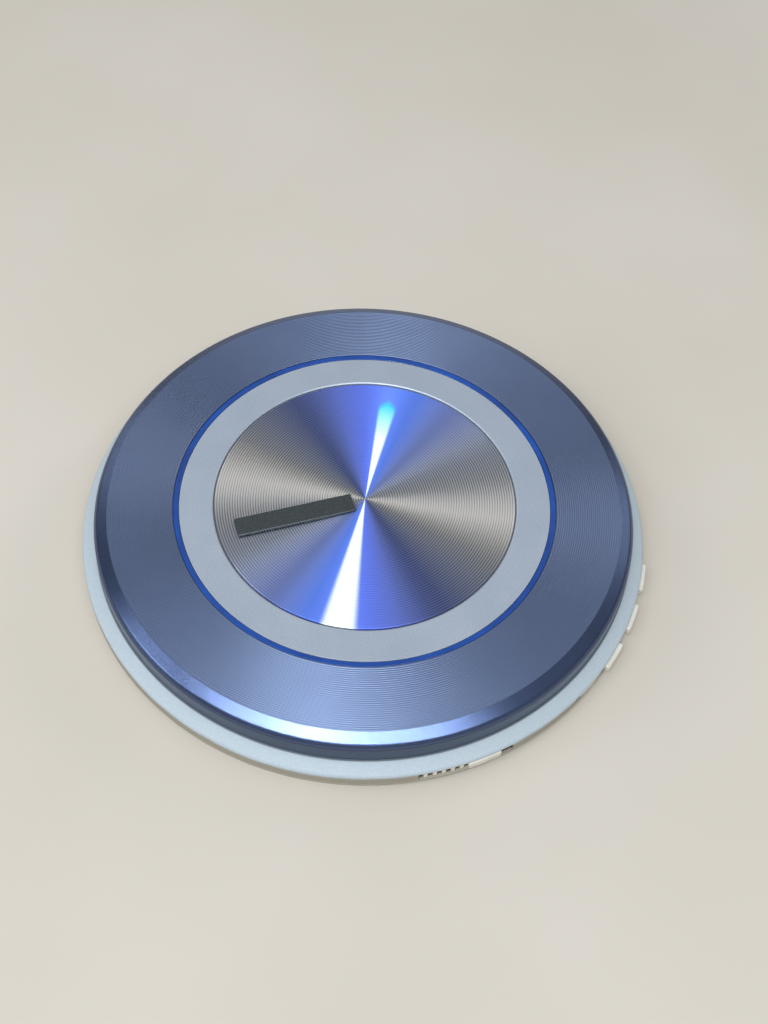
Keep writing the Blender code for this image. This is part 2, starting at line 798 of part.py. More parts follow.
def lid_hook():
    """Hook under the front of the lid, with a nose to the right that the catch holds."""
    left, right, front, back = hook_frame()
    bottom = BOARD_TOP + SWITCH_HEIGHT / 2 + HOOK_BOTTOM_GAP
    foot_top = FRAME_UNDER - GLUE_LINE
    middle = (left + right) / 2
    stem = block((left, front, bottom), (right, back, foot_top))
    nose = block((right - MERGE, front, bottom), (right + HOOK_NOSE, back, bottom + HOOK_NOSE_HEIGHT))
    foot = block(
        (middle - HOOK_FOOT_WIDTH / 2, front, foot_top - HOOK_FOOT_HEIGHT),
        (middle + HOOK_FOOT_WIDTH / 2, front + HOOK_FOOT_LENGTH, foot_top),
    )
    join(stem, nose, foot)
    return part("lid_hook", stem, "bright_steel", parent=LID_AXIS)


# Case


def case_cylinder(radius):
    """A tall cylinder to trim inner walls by."""
    return rod(radius, (0, 0, -OVERRUN), (0, 0, LID_TOP), FINE_STEPS)


def rim_notch(azimuth, width):
    """Cutter for a control's notch, open at the parting line."""
    low = (-width / 2, -BODY_RADIUS - OVERRUN, PARTING - OVERRUN)
    high = (width / 2, -BODY_INNER + OVERRUN / 2, PARTING + NOTCH_HEIGHT)
    return spin(block(low, high), azimuth)


def hook_slot():
    left, right, front, back = hook_frame()
    return block(
        (left - HOOK_SLOT_GAP, front - HOOK_SLOT_GAP, DECK_UNDER - OVERRUN),
        (right + HOOK_NOSE + HOOK_SLOT_GAP, back + HOOK_SLOT_GAP, DECK_TOP + OVERRUN / 2),
    )


def lens_slot():
    """Slot in the deck that the lens looks through, from the hub's hole to the rim."""
    low = (-(RIM_INNER - SLOT_END_GAP), -SLOT_HALF_WIDTH)
    outline = rounded_rectangle(low, (-HUB_HOLE_RADIUS / 2, SLOT_HALF_WIDTH), SLOT_CORNER)
    return plate(outline, DECK_UNDER - OVERRUN, DECK_TOP + OVERRUN)


def jack_height():
    return SHELL_FLOOR + JACK_LIFT + JACK_HEIGHT / 2


def jack_bore(azimuth, radius):
    """Cutter along a jack's bore, from the jack's face to the outside."""
    z = jack_height()
    start = (0, -JACK_FACE + FIT, z)
    return spin(rod(radius, start, (0, -BODY_RADIUS - OVERRUN, z), SMALL_STEPS), azimuth)


def jack_radii():
    return (PHONE_BORE + JACK_COLLAR, POWER_BORE + JACK_COLLAR)


def hinge_housing(cabinet):
    """Block, pocket, middle knuckle and cheeks that carry the hinge pin."""
    floor = PIVOT_Z - KNUCKLE_RADIUS - FIT
    base = block(
        (-CHEEK_OUTSIDE - FIT, RIM_INNER - RIM_WALL, floor - POCKET_FLOOR_WALL),
        (CHEEK_OUTSIDE + FIT, BODY_RADIUS + OVERRUN, DECK_UNDER + SEAM),
    )
    join(cabinet, trim(base, case_cylinder(BODY_INNER + MERGE)))
    cut(cabinet, rear_rim_cutter())
    pocket = block(
        (-CHEEK_OUTSIDE + MERGE, PIVOT_Y - KNUCKLE_RADIUS - FIT, floor),
        (CHEEK_OUTSIDE - MERGE, PIVOT_Y + KNUCKLE_RADIUS + FIT, LID_TOP),
    )
    cut(cabinet, pocket)
    outline = [
        (PIVOT_Y - KNUCKLE_RADIUS - 2 * FIT, floor - MERGE),
        (PIVOT_Y + KNUCKLE_RADIUS, floor - MERGE),
    ]
    outline += arc((PIVOT_Y, PIVOT_Z), KNUCKLE_RADIUS, 0, 120, 6)
    outline.append((PIVOT_Y - KNUCKLE_RADIUS - 2 * FIT, PIVOT_Z))
    blind_end = CHEEK_OUTSIDE - CHEEK_WIDTH / 2
    for low, high in (
        (-ARM_INSIDE + FIT, SPRING_START - SPRING_PITCH),
        (-CHEEK_OUTSIDE, -CHEEK_INSIDE),
        (CHEEK_INSIDE, CHEEK_OUTSIDE),
    ):
        stand = cut(side_plate(outline, low, high), pin_bore(-blind_end, blind_end))
        join(cabinet, stand)


def rear_rim_cutter():
    """Lowers the rim behind, where the hinge arms cross it."""
    return block(
        (-CHEEK_OUTSIDE - SKIRT_LIFT, RIM_INNER / 2, DECK_TOP + REAR_RIM_HEIGHT),
        (CHEEK_OUTSIDE + SKIRT_LIFT, BODY_RADIUS + OVERRUN, LID_TOP),
    )


def upper_cabinet():
    """Deck with the disc well, raised rim, sloping shoulder and outer wall, all one moulding."""
    profile = [
        (HUB_HOLE_RADIUS, DECK_TOP),
        (RIM_INNER, DECK_TOP),
        (RIM_INNER, RIM_TOP),
        (RIM_OUTER, RIM_TOP),
        (RIM_OUTER, DECK_TOP),
        (LID_RADIUS + SKIRT_GAP, DECK_TOP - SEAM / 2),
    ]
    edge = (BODY_RADIUS - SHOULDER_ROUND, DECK_TOP - SHOULDER_DROP - SHOULDER_ROUND)
    profile += arc(edge, SHOULDER_ROUND, 75, 0, 3)
    profile += [
        (BODY_RADIUS, PARTING + SEAM / 2),
        (BODY_INNER, PARTING + SEAM / 2),
        (BODY_INNER, DECK_UNDER - DECK_WALL),
        (BODY_INNER - DECK_WALL, DECK_UNDER - SEAM),
        (RIM_OUTER, DECK_UNDER),
        (HUB_HOLE_RADIUS, DECK_UNDER),
    ]
    cabinet = turned(profile, FINE_STEPS)
    cut(cabinet, lens_slot(), hook_slot())
    for azimuth in KEY_AZIMUTHS:
        cut(cabinet, rim_notch(azimuth, KEY_WIDTH))
    cut(cabinet, rim_notch(SLIDER_AZIMUTH, SLIDER_NOTCH), rim_notch(HOLD_AZIMUTH, HOLD_NOTCH))
    hinge_housing(cabinet)
    for azimuth, radius in SCREW_PLACES:
        x, y = polar(azimuth, radius)
        boss = rod(BOSS_RADIUS, (x, y, boss_bottom()), (x, y, DECK_UNDER + MERGE), TINY_STEPS)
        join(cabinet, trim(boss, case_cylinder(BODY_INNER + MERGE)))
        top = screw_top() + FIT
        low = boss_bottom() - OVERRUN
        cut(cabinet, rod(SCREW_RADIUS + RUNNING_FIT, (x, y, low), (x, y, top), TINY_STEPS))
    for azimuth, radius in zip(JACK_AZIMUTHS, jack_radii()):
        cut(cabinet, jack_bore(azimuth, radius))
    return part("upper_cabinet", cabinet, "pale_case")


def boss_bottom():
    return SHELL_FLOOR + PAD_HEIGHT + FIT


def screw_top():
    return SHELL_BOTTOM + RUNNING_FIT + SCREW_HEAD_HEIGHT + SCREW_LENGTH


def rounded_rectangle(low, high, radius, count=3):
    (x0, y0), (x1, y1) = low, high
    return (
        arc((x1 - radius, y0 + radius), radius, -90, 0, count)
        + arc((x1 - radius, y1 - radius), radius, 0, 90, count)
        + arc((x0 + radius, y1 - radius), radius, 90, 180, count)
        + arc((x0 + radius, y0 + radius), radius, 180, 270, count)
    )


def bottom_shell():
    """Tray with a rounded corner, the open battery bay, posts, screw pads and foot seats."""
    inner_corner = CORNER_RADIUS - SHELL_WALL
    flat = BODY_RADIUS - CORNER_RADIUS
    top = PARTING - SEAM / 2
    profile = [(0, SHELL_FLOOR)]
    profile += arc((flat, PARTING), inner_corner, -90, -15, 4)
    profile += [(BODY_INNER, top), (BODY_RADIUS, top)]
    profile += arc((flat, PARTING), CORNER_RADIUS, -10, -90, 6)
    profile.append((0, SHELL_BOTTOM))
    shell = turned(profile, FINE_STEPS, False)
    bay = block(
        (-BAY_HALF_LENGTH - BAY_WALL, BAY_FRONT - BAY_WALL, SHELL_BOTTOM + SHELL_WALL / 2),
        (BAY_HALF_LENGTH + BAY_WALL, BAY_REAR + BAY_WALL, DECK_UNDER - FIT),
    )
    join(shell, trim(bay, case_cylinder(BODY_INNER - FIT)))
    opening = rounded_rectangle((-BAY_HALF_LENGTH, BAY_FRONT), (BAY_HALF_LENGTH, BAY_REAR), DOOR_CORNER)
    cut(shell, plate(opening, -OVERRUN, LID_TOP))
    pin_x = BAY_HALF_LENGTH + DOOR_PIN_LENGTH
    pin_y, pin_z = door_axis()
    cut(shell, rod(DOOR_PIN_RADIUS + RUNNING_FIT, (-pin_x, pin_y, pin_z), (pin_x, pin_y, pin_z), TINY_STEPS))
    middle = SHELL_BOTTOM + SHELL_WALL / 2
    for x, y in DAMPER_PLACES:
        post = rod(POST_RADIUS, (x, y, middle), (x, y, damper_bottom() - FIT), TINY_STEPS)
        pin = rod(DAMPER_POST_RADIUS, (x, y, SHELL_FLOOR), (x, y, damper_top()), TINY_STEPS)
        join(shell, post, pin)
    for azimuth, radius in SCREW_PLACES:
        x, y = polar(azimuth, radius)
        pad = rod(PAD_RADIUS, (x, y, middle), (x, y, SHELL_FLOOR + PAD_HEIGHT), TINY_STEPS)
        join(shell, trim(pad, case_cylinder(BODY_INNER + MERGE)))
        cut(
            shell,
            rod(SCREW_RADIUS + FIT / 2, (x, y, -OVERRUN), (x, y, SHELL_FLOOR + OVERRUN), TINY_STEPS),
            rod(SCREW_HEAD_RADIUS + FIT, (x, y, -OVERRUN), (x, y, SHELL_BOTTOM + SCREW_SINK), SMALL_STEPS),
        )
    join(shell, spring_rib())
    for azimuth, radius in FOOT_PLACES:
        x, y = polar(azimuth, radius)
        seat = SHELL_BOTTOM + FOOT_SEAT
        cut(shell, rod(FOOT_RADIUS + FIT / 2, (x, y, -OVERRUN), (x, y, seat), SMALL_STEPS))
    for azimuth, radius in zip(JACK_AZIMUTHS, jack_radii()):
        cut(shell, jack_bore(azimuth, radius))
    return part("bottom_shell", shell, "pale_case")


def case_screws():
    for number, (azimuth, radius) in enumerate(SCREW_PLACES, 1):
        x, y = polar(azimuth, radius)
        head = SHELL_BOTTOM + SCREW_SINK - RUNNING_FIT
        profile = [
            (0, screw_top()),
            (SCREW_RADIUS, screw_top()),
            (SCREW_RADIUS, head),
            (SCREW_HEAD_RADIUS, head),
            (SCREW_HEAD_RADIUS, head - SCREW_HEAD_HEIGHT),
            (SCREW_SOCKET_RADIUS, head - SCREW_HEAD_HEIGHT),
            (SCREW_SOCKET_RADIUS, head - SCREW_HEAD_HEIGHT + SCREW_SOCKET_DEPTH),
            (0, head - SCREW_HEAD_HEIGHT + SCREW_SOCKET_DEPTH),
        ]
        screw = shift(turned(profile, TINY_STEPS, False), (x, y, 0))
        part(f"case_screw_{number}", screw, "bright_steel", origin=(x, y, head))


def feet():
    for number, (azimuth, radius) in enumerate(FOOT_PLACES, 1):
        x, y = polar(azimuth, radius)
        top = SHELL_BOTTOM + FOOT_SEAT - GLUE_LINE
        pad = rod(FOOT_RADIUS, (x, y, 0), (x, y, top), SMALL_STEPS)
        part(f"foot_{number}", pad, "rubber", origin=(x, y, 0))


def hinge_hardware():
    """The steel pin and the torsion spring that lifts the lid."""
    end = CHEEK_OUTSIDE - CHEEK_WIDTH / 2 - FIT
    pin = rod(PIN_RADIUS, (-end, PIVOT_Y, PIVOT_Z), (end, PIVOT_Y, PIVOT_Z), TINY_STEPS)
    part("hinge_pin", pin, "bright_steel", origin=(0, PIVOT_Y, PIVOT_Z))
    points = [(SPRING_START, PIVOT_Y - SPRING_LEG, PIVOT_Z - SPRING_RADIUS)]
    for i in range(SPRING_TURNS * POINTS_PER_CURL + 1):
        angle = -math.pi / 2 + 2 * math.pi * i / POINTS_PER_CURL
        points.append(
            (
                SPRING_START + SPRING_PITCH * i / POINTS_PER_CURL,
                PIVOT_Y + SPRING_RADIUS * math.cos(angle),
                PIVOT_Z + SPRING_RADIUS * math.sin(angle),
            )
        )
    end = points[-1]
    points.append((end[0], end[1] + SPRING_LEG, end[2]))
    print(f"hinge spring: least gap between curls {(SPRING_PITCH - 2 * SPRING_WIRE_RADIUS) * 1000:.2f} mm")
    part("hinge_spring", wire(points, SPRING_WIRE_RADIUS), "bright_steel", origin=(0, PIVOT_Y, PIVOT_Z))


# Rim controls


def control_levels():
    """Bottom and top of a control in its notch."""
    return PARTING + SEAM / 2 + CONTROL_GAP, PARTING + NOTCH_HEIGHT - CONTROL_GAP


def curved_face(obj, radius):
    """Trims a control so that its face follows the rim at this radius."""
    return trim(obj, rod(radius, (0, 0, 0), (0, 0, LID_TOP), 2 * FINE_STEPS))


def flange_front(half_width):
    """Radius at which a flat flange of this half width clears the wall behind a notch."""
    return math.sqrt(BODY_INNER**2 - half_width**2) - FIT


def keys():
    low, high = control_levels()
    for number, azimuth in enumerate(KEY_AZIMUTHS, 1):
        half = KEY_WIDTH / 2 - CONTROL_GAP
        flange_half = KEY_WIDTH / 2 + FLANGE_SIDE
        flange = flange_front(flange_half)
        middle = (low + high) / 2
        key = block((-half, -BODY_RADIUS - OVERRUN, low), (half, -flange + MERGE, high))
        curved_face(key, BODY_RADIUS + KEY_PROUD)
        bevelled(key, CONTROL_BEVEL)
        plate_shape = block(
            (-flange_half, -flange, low - FLANGE_RISE),
            (flange_half, -flange + FLANGE_DEPTH, high + FLANGE_RISE),
        )
        stem = block(
            (-KEY_STEM_WIDTH / 2, -flange + FLANGE_DEPTH - MERGE, middle - KEY_STEM_HEIGHT / 2),
            (KEY_STEM_WIDTH / 2, -flange + FLANGE_DEPTH + KEY_STEM_LENGTH, middle + KEY_STEM_HEIGHT / 2),
        )
        join(key, plate_shape, stem)
        x, y = polar(azimuth, BODY_RADIUS)
        part(f"key_{number}", spin(key, azimuth), "pale_key", origin=(x, y, middle), azimuth=azimuth)


def key_stem_end():
    return flange_front(KEY_WIDTH / 2 + FLANGE_SIDE) - FLANGE_DEPTH - KEY_STEM_LENGTH


def key_switches():
    """Side-pressed switches on the board, their plungers one key travel from the stems."""
    low, high = control_levels()
    middle = (low + high) / 2
    face = key_stem_end() - KEY_TRAVEL - RUNNING_FIT - PLUNGER_LENGTH
    for number, azimuth in enumerate(KEY_AZIMUTHS, 1):
        body = block(
            (-SWITCH_WIDTH / 2, -face, BOARD_TOP + GLUE_LINE),
            (SWITCH_WIDTH / 2, -face + SWITCH_DEPTH, BOARD_TOP + SWITCH_HEIGHT),
        )
        plunger = rod(
            PLUNGER_RADIUS, (0, -face + MERGE, middle), (0, -face - PLUNGER_LENGTH, middle), TINY_STEPS
        )
        join(body, plunger)
        part(f"key_switch_{number}", spin(body, azimuth), "black_moulding", azimuth=azimuth)


def slider_ends():
    """Left and right ends of the slider's knob at rest, along the rim."""
    return -SLIDER_NOTCH / 2 + CONTROL_GAP, SLIDER_NOTCH / 2 - SLIDER_TRAVEL - CONTROL_GAP


def slider_back():
    """Radius of the outer face of the bar behind the knob."""
    return flange_front(SLIDER_NOTCH / 2 + FLANGE_SIDE + SLIDER_TRAVEL)


def latch_spring_ends():
    start = slider_ends()[1] + FLANGE_SIDE + LATCH_SPRING_WIRE + FIT
    return start, start + LATCH_SPRING_TURNS * LATCH_SPRING_PITCH


def spring_rib():
    """Rib on the shell's floor that the latch spring runs against at the end of the travel."""
    low = latch_spring_ends()[1] + LATCH_SPRING_WIRE + SLIDER_TRAVEL + FIT
    back = slider_back()
    rib = block(
        (low, -back, SHELL_BOTTOM + SHELL_WALL / 2),
        (low + SEAT_RIB_WALL, -back + SEAT_RIB_DEPTH, control_levels()[1]),
    )
    return trim(spin(rib, SLIDER_AZIMUTH), case_cylinder(BODY_INNER - FIT))


def open_slider():
    """Latch slider: ribbed grip and smooth tab in the wall, a bar behind it, and the catch."""
    low, high = control_levels()
    left, right = slider_ends()
    tab_left = right - SLIDER_TAB_SHARE * (right - left)
    back = slider_back()
    grip = block((left, -BODY_RADIUS - OVERRUN, low), (tab_left + MERGE, -back + MERGE, high))
    curved_face(grip, BODY_RADIUS - SLIDER_RECESS)
    tab = block((tab_left, -BODY_RADIUS - OVERRUN, low), (right, -back + MERGE, high))
    curved_face(tab, BODY_RADIUS + SLIDER_PROUD)
    join(grip, tab)
    first = (left + tab_left) / 2 - SLIDER_RIB_PITCH * (SLIDER_RIBS - 1) / 2
    for i in range(SLIDER_RIBS):
        x = first + i * SLIDER_RIB_PITCH
        rib = block(
            (x - SLIDER_RIB_WIDTH / 2, -BODY_RADIUS - OVERRUN, low),
            (x + SLIDER_RIB_WIDTH / 2, -back + MERGE, high),
        )
        join(grip, curved_face(rib, BODY_RADIUS - CONTROL_GAP))
    middle = (low + high) / 2
    bar = block(
        (left - FLANGE_SIDE, -back, middle - SLIDER_BAR_HEIGHT / 2 - FLANGE_RISE),
        (right + FLANGE_SIDE, -back + SLIDER_BAR_DEPTH, middle + SLIDER_BAR_HEIGHT / 2),
    )
    join(grip, bar)
    catch_low = catch_height()
    hook_left, hook_right, hook_front, hook_back = hook_frame()
    nose_end = hook_right + HOOK_NOSE + FIT
    # The catch is drawn in the slider's own frame, so the hook's places are turned back to it.
    turn = math.radians(-SLIDER_AZIMUTH)
    catch_x = nose_end * math.cos(turn) - hook_front * math.sin(turn)
    catch_y = nose_end * math.sin(turn) + hook_front * math.cos(turn)
    catch = block(
        (catch_x, -back, catch_low),
        (catch_x + CATCH_WIDTH, catch_y + HOOK_DEPTH, catch_low + CATCH_HEIGHT),
    )
    riser = block(
        (catch_x, -back, middle),
        (catch_x + CATCH_WIDTH, -back + SLIDER_BAR_DEPTH - MERGE, catch_low + CATCH_HEIGHT),
    )
    join(grip, catch, riser)
    x, y = polar(SLIDER_AZIMUTH, BODY_RADIUS)
    part(
        "open_slider",
        spin(grip, SLIDER_AZIMUTH),
        "pale_key",
        origin=(x, y, middle),
        azimuth=SLIDER_AZIMUTH,
    )
    latch_spring(back - SLIDER_BAR_DEPTH + LATCH_SPRING_RADIUS + LATCH_SPRING_WIRE, middle)


def catch_height():
    bottom = BOARD_TOP + SWITCH_HEIGHT / 2 + HOOK_BOTTOM_GAP
    return bottom + HOOK_NOSE_HEIGHT / 2


def latch_spring(radius, height):
    """Coil that pushes the slider back to the left, drawn at its pressed length."""
    start = latch_spring_ends()[0]
    count = LATCH_SPRING_TURNS * POINTS_PER_CURL
    points = []
    for i in range(count + 1):
        angle = 2 * math.pi * i / POINTS_PER_CURL
        points.append(
            (
                start + LATCH_SPRING_PITCH * i / POINTS_PER_CURL,
                -radius + LATCH_SPRING_RADIUS * math.cos(angle),
                height + LATCH_SPRING_RADIUS * math.sin(angle),
            )
        )
    gap = LATCH_SPRING_PITCH - 2 * LATCH_SPRING_WIRE
    print(f"latch spring: least gap between curls {gap * 1000:.2f} mm")
    coil = wire(points, LATCH_SPRING_WIRE)
    part("latch_spring", spin(coil, SLIDER_AZIMUTH), "bright_steel", azimuth=SLIDER_AZIMUTH)


def hold_slider():
    """Flush slide-switch knob in its notch, with the fork that carries the switch's lever."""
    low, high = control_levels()
    left = -HOLD_NOTCH / 2 + HOLD_TRAVEL + CONTROL_GAP
    right = HOLD_NOTCH / 2 - CONTROL_GAP
    back = flange_front(HOLD_NOTCH / 2 + FLANGE_SIDE)
    knob = block((left, -BODY_RADIUS - OVERRUN, low), (right, -back + MERGE, high))
    curved_face(knob, BODY_RADIUS - CONTROL_GAP)
    flange = block((left - FLANGE_SIDE, -back, low), (right - 2 * FLANGE_SIDE, -back + FLANGE_DEPTH, high))
    middle = (left + right) / 2
    fork = block(
        (middle - KEY_STEM_WIDTH, -back + FLANGE_DEPTH - MERGE, low),
        (middle + KEY_STEM_WIDTH, -back + FLANGE_DEPTH + HOLD_FORK_DEPTH, high - SLIDER_RECESS),
    )
    gap = block(
        (middle - PLUNGER_RADIUS - RUNNING_FIT, -back + FLANGE_DEPTH + FIT, low - OVERRUN),
        (middle + PLUNGER_RADIUS + RUNNING_FIT, -back + FLANGE_DEPTH + HOLD_FORK_DEPTH + OVERRUN, high),
    )
    join(knob, flange, cut(fork, gap))
    x, y = polar(HOLD_AZIMUTH, BODY_RADIUS)
    origin = (x, y, (low + high) / 2)
    part("hold_slider", spin(knob, HOLD_AZIMUTH), "pale_key", origin=origin, azimuth=HOLD_AZIMUTH)
    body_face = back - FLANGE_DEPTH - HOLD_FORK_DEPTH - FIT
    switch = block(
        (middle - SWITCH_WIDTH - HOLD_TRAVEL, -body_face, BOARD_TOP + GLUE_LINE),
        (middle + SWITCH_WIDTH - HOLD_TRAVEL, -body_face + SWITCH_DEPTH, BOARD_TOP + SWITCH_HEIGHT),
    )
    part("hold_switch", spin(switch, HOLD_AZIMUTH), "zinc_sheet", azimuth=HOLD_AZIMUTH)


# Disc drive


def damper_bottom():
    return CHASSIS_Z - DAMPER_LIP - FIT / 2


def damper_top():
    return DECK_UNDER - FIT


def chassis_outline():
    """U-shaped sheet round the sled's way, closed round the spindle motor."""
    outer = MECH_HALF_WIDTH
    inner = SHAFT_SPACING + SLED_SIDE + FIT
    end = -(LENS_END + SLED_OUTWARD)
    root = -(LENS_START - SLED_INWARD) + FIT
    right = DAMPER_PLACES[2][0]
    return [
        (end, -outer),
        (right - EAR_RADIUS, -outer),
        (right, -outer / 2),
        (right, outer / 2),
        (right - EAR_RADIUS, outer),
        (end, outer),
        (end, inner),
        (root, inner),
        (root, -inner),
        (end, -inner),
    ]


def shaft_bore(side, clearance):
    y = side * SHAFT_SPACING
    end = LENS_END + SLED_OUTWARD
    return rod(
        SHAFT_RADIUS + clearance, (-end - OVERRUN, y, SHAFT_Z), (-MOTOR_RADIUS, y, SHAFT_Z), TINY_STEPS
    )


def mech_chassis():
    """Pressed sheet: U-shaped plate, ears for the dampers, and tabs that hold the shafts."""
    chassis = plate(chassis_outline(), CHASSIS_Z, CHASSIS_TOP)
    for x, y in DAMPER_PLACES:
        ear = rod(EAR_RADIUS, (x, y, CHASSIS_Z), (x, y, CHASSIS_TOP), SMALL_STEPS)
        join(chassis, ear)
        edge = math.copysign(MECH_HALF_WIDTH - MERGE, y)
        if abs(y) > MECH_HALF_WIDTH:
            bridge = block(
                (x - EAR_RADIUS, min(y, edge), CHASSIS_Z), (x + EAR_RADIUS, max(y, edge), CHASSIS_TOP)
            )
            join(chassis, bridge)
        cut(chassis, rod(DAMPER_NECK + FIT / 2, (x, y, 0), (x, y, LID_TOP), TINY_STEPS))
    end = -(LENS_END + SLED_OUTWARD)
    near = -(LENS_START - SLED_INWARD) + FIT
    for side in (-1, 1):
        for x in (end, near):
            ys = sorted((side * (SHAFT_SPACING - TAB_HALF_WIDTH), side * MECH_HALF_WIDTH))
            low = (x, ys[0], SHAFT_Z - SHAFT_RADIUS - FIT)
            tab = block(low, (x + TAB_WALL, ys[1], CHASSIS_TOP))
            join(chassis, tab)
        cut(chassis, shaft_bore(side, RUNNING_FIT / 2))
    cut(chassis, rod(SPINDLE_RADIUS + HUB_HOLE_GAP, (0, 0, 0), (0, 0, LID_TOP), SMALL_STEPS))
    return part("mech_chassis", chassis, "zinc_sheet")


def mech_dampers():
    """Rubber grommets that float the chassis on the case's posts."""
    waist_low = CHASSIS_Z - FIT / 2
    waist_high = CHASSIS_TOP + FIT / 2
    bore = DAMPER_POST_RADIUS + RUNNING_FIT
    for number, (x, y) in enumerate(DAMPER_PLACES, 1):
        top = waist_high + DAMPER_LIP / 2
        profile = [
            (bore, top),
            (DAMPER_RADIUS - FIT, top),
            (DAMPER_RADIUS, waist_high),
            (DAMPER_NECK, waist_high),
            (DAMPER_NECK, waist_low),
            (DAMPER_RADIUS, waist_low),
            (DAMPER_RADIUS - FIT, waist_low - DAMPER_LIP),
            (bore, waist_low - DAMPER_LIP),
        ]
        grommet = shift(turned(profile, TINY_STEPS), (x, y, 0))
        part(f"mech_damper_{number}", grommet, "rubber", origin=(x, y, CHASSIS_Z))


def guide_shafts():
    end = LENS_END + SLED_OUTWARD
    near = LENS_START - SLED_INWARD - FIT - TAB_WALL
    for name, side in (("guide_shaft_main", 1), ("guide_shaft_sub", -1)):
        y = side * SHAFT_SPACING
        shaft = rod(SHAFT_RADIUS, (-end - FIT, y, SHAFT_Z), (-near + FIT, y, SHAFT_Z), TINY_STEPS)
        part(name, shaft, "bright_steel", origin=(-end, y, SHAFT_Z))


def spindle_motor():
    top = CHASSIS_Z - GLUE_LINE
    bottom = top - MOTOR_HEIGHT
    profile = [
        (MOTOR_BORE, top),
        (MOTOR_RADIUS - FIT, top),
        (MOTOR_RADIUS, top - FIT),
        (MOTOR_RADIUS, bottom + FIT),
        (MOTOR_RADIUS - FIT, bottom),
        (MOTOR_BORE, bottom),
    ]
    return part("spindle_motor", turned(profile, STEPS), "zinc_sheet")


def hub_radius():
    return DISC_HOLE_RADIUS - HUB_CLEARANCE


def pawl_slot():
    """Cutter for one clamp pawl's slot in the hub, drawn towards +X."""
    inner = hub_radius() - PAWL_TAIL - PAWL_TRAVEL - FIT
    return block(
        (inner, -PAWL_WIDTH / 2 - FIT / 2, pawl_bottom() - FIT / 2),
        (hub_radius() + OVERRUN, PAWL_WIDTH / 2 + FIT / 2, pawl_bottom() + PAWL_HEIGHT + FIT / 2),
    )


def pawl_bottom():
    return SEAT_Z + (DISC_THICKNESS - PAWL_HEIGHT) / 2 + FIT


def turntable():
    """Disc seat with its centring hub, slotted for the clamp pawls, and the boss below."""
    table_top = SEAT_Z - PAD_WALL
    hub = hub_radius()
    profile = [(SPINDLE_RADIUS + GLUE_LINE, SEAT_Z + HUB_HEIGHT)]
    profile += [
        (HUB_TOP_RADIUS - MERGE, SEAT_Z + HUB_HEIGHT),
        (HUB_TOP_RADIUS, SEAT_Z + HUB_HEIGHT - MERGE),
        (hub, SEAT_Z + DISC_THICKNESS - FIT),
        (hub, table_top),
        (TABLE_RADIUS, table_top),
        (TABLE_RADIUS, table_top - TABLE_WALL),
        (HUB_BOSS_RADIUS, table_top - TABLE_WALL),
        (HUB_BOSS_RADIUS, CHASSIS_TOP + FIT),
        (SPINDLE_RADIUS + GLUE_LINE, CHASSIS_TOP + FIT),
    ]
    table = turned(profile, STEPS)
    for i in range(PAWL_COUNT):
        cut(table, spin(pawl_slot(), 360 * i / PAWL_COUNT))
    part("turntable", table, "black_moulding", origin=(0, 0, SEAT_Z), parent=SPINDLE_AXIS)
    pad_inner = TABLE_RADIUS - FIT - PAD_WIDTH
    pad = turned(
        [
            (pad_inner, SEAT_Z),
            (TABLE_RADIUS - FIT, SEAT_Z),
            (TABLE_RADIUS - FIT, table_top + GLUE_LINE),
            (pad_inner, table_top + GLUE_LINE),
        ],
        STEPS,
    )
    part("disc_pad", pad, "rubber", parent=SPINDLE_AXIS)
    bottom = CHASSIS_Z - MOTOR_HEIGHT
    shaft = rod(SPINDLE_RADIUS, (0, 0, bottom), (0, 0, SEAT_Z + HUB_HEIGHT - MERGE), TINY_STEPS)
    part("spindle_shaft", shaft, "bright_steel", parent=SPINDLE_AXIS)


def clamp_pawls():
    """Sprung pawls whose noses stand out of the hub over the disc's edge."""
    bottom = pawl_bottom()
    hub = hub_radius()
    for i in range(PAWL_COUNT):
        outline = [
            (hub - PAWL_TAIL, bottom),
            (hub - FIT, bottom),
            (hub + PAWL_PROUD, bottom + PAWL_HEIGHT * 2 / 3),
            (hub - FIT, bottom + PAWL_HEIGHT),
            (hub - PAWL_TAIL, bottom + PAWL_HEIGHT),
        ]
        pawl = side_plate(outline, -PAWL_WIDTH / 2, PAWL_WIDTH / 2)
        spin(pawl, -90 + 360 * i / PAWL_COUNT)
        angle = math.radians(360 * i / PAWL_COUNT)
        origin = (hub * math.cos(angle), hub * math.sin(angle), bottom)
        part(f"clamp_pawl_{i + 1}", pawl, "pale_key", origin=origin, parent=SPINDLE_AXIS)


# Pickup and its drive


def sled_levels():
    bottom = SHELL_FLOOR + SLED_BOTTOM_RISE
    return bottom, bottom + SLED_BLOCK_HEIGHT


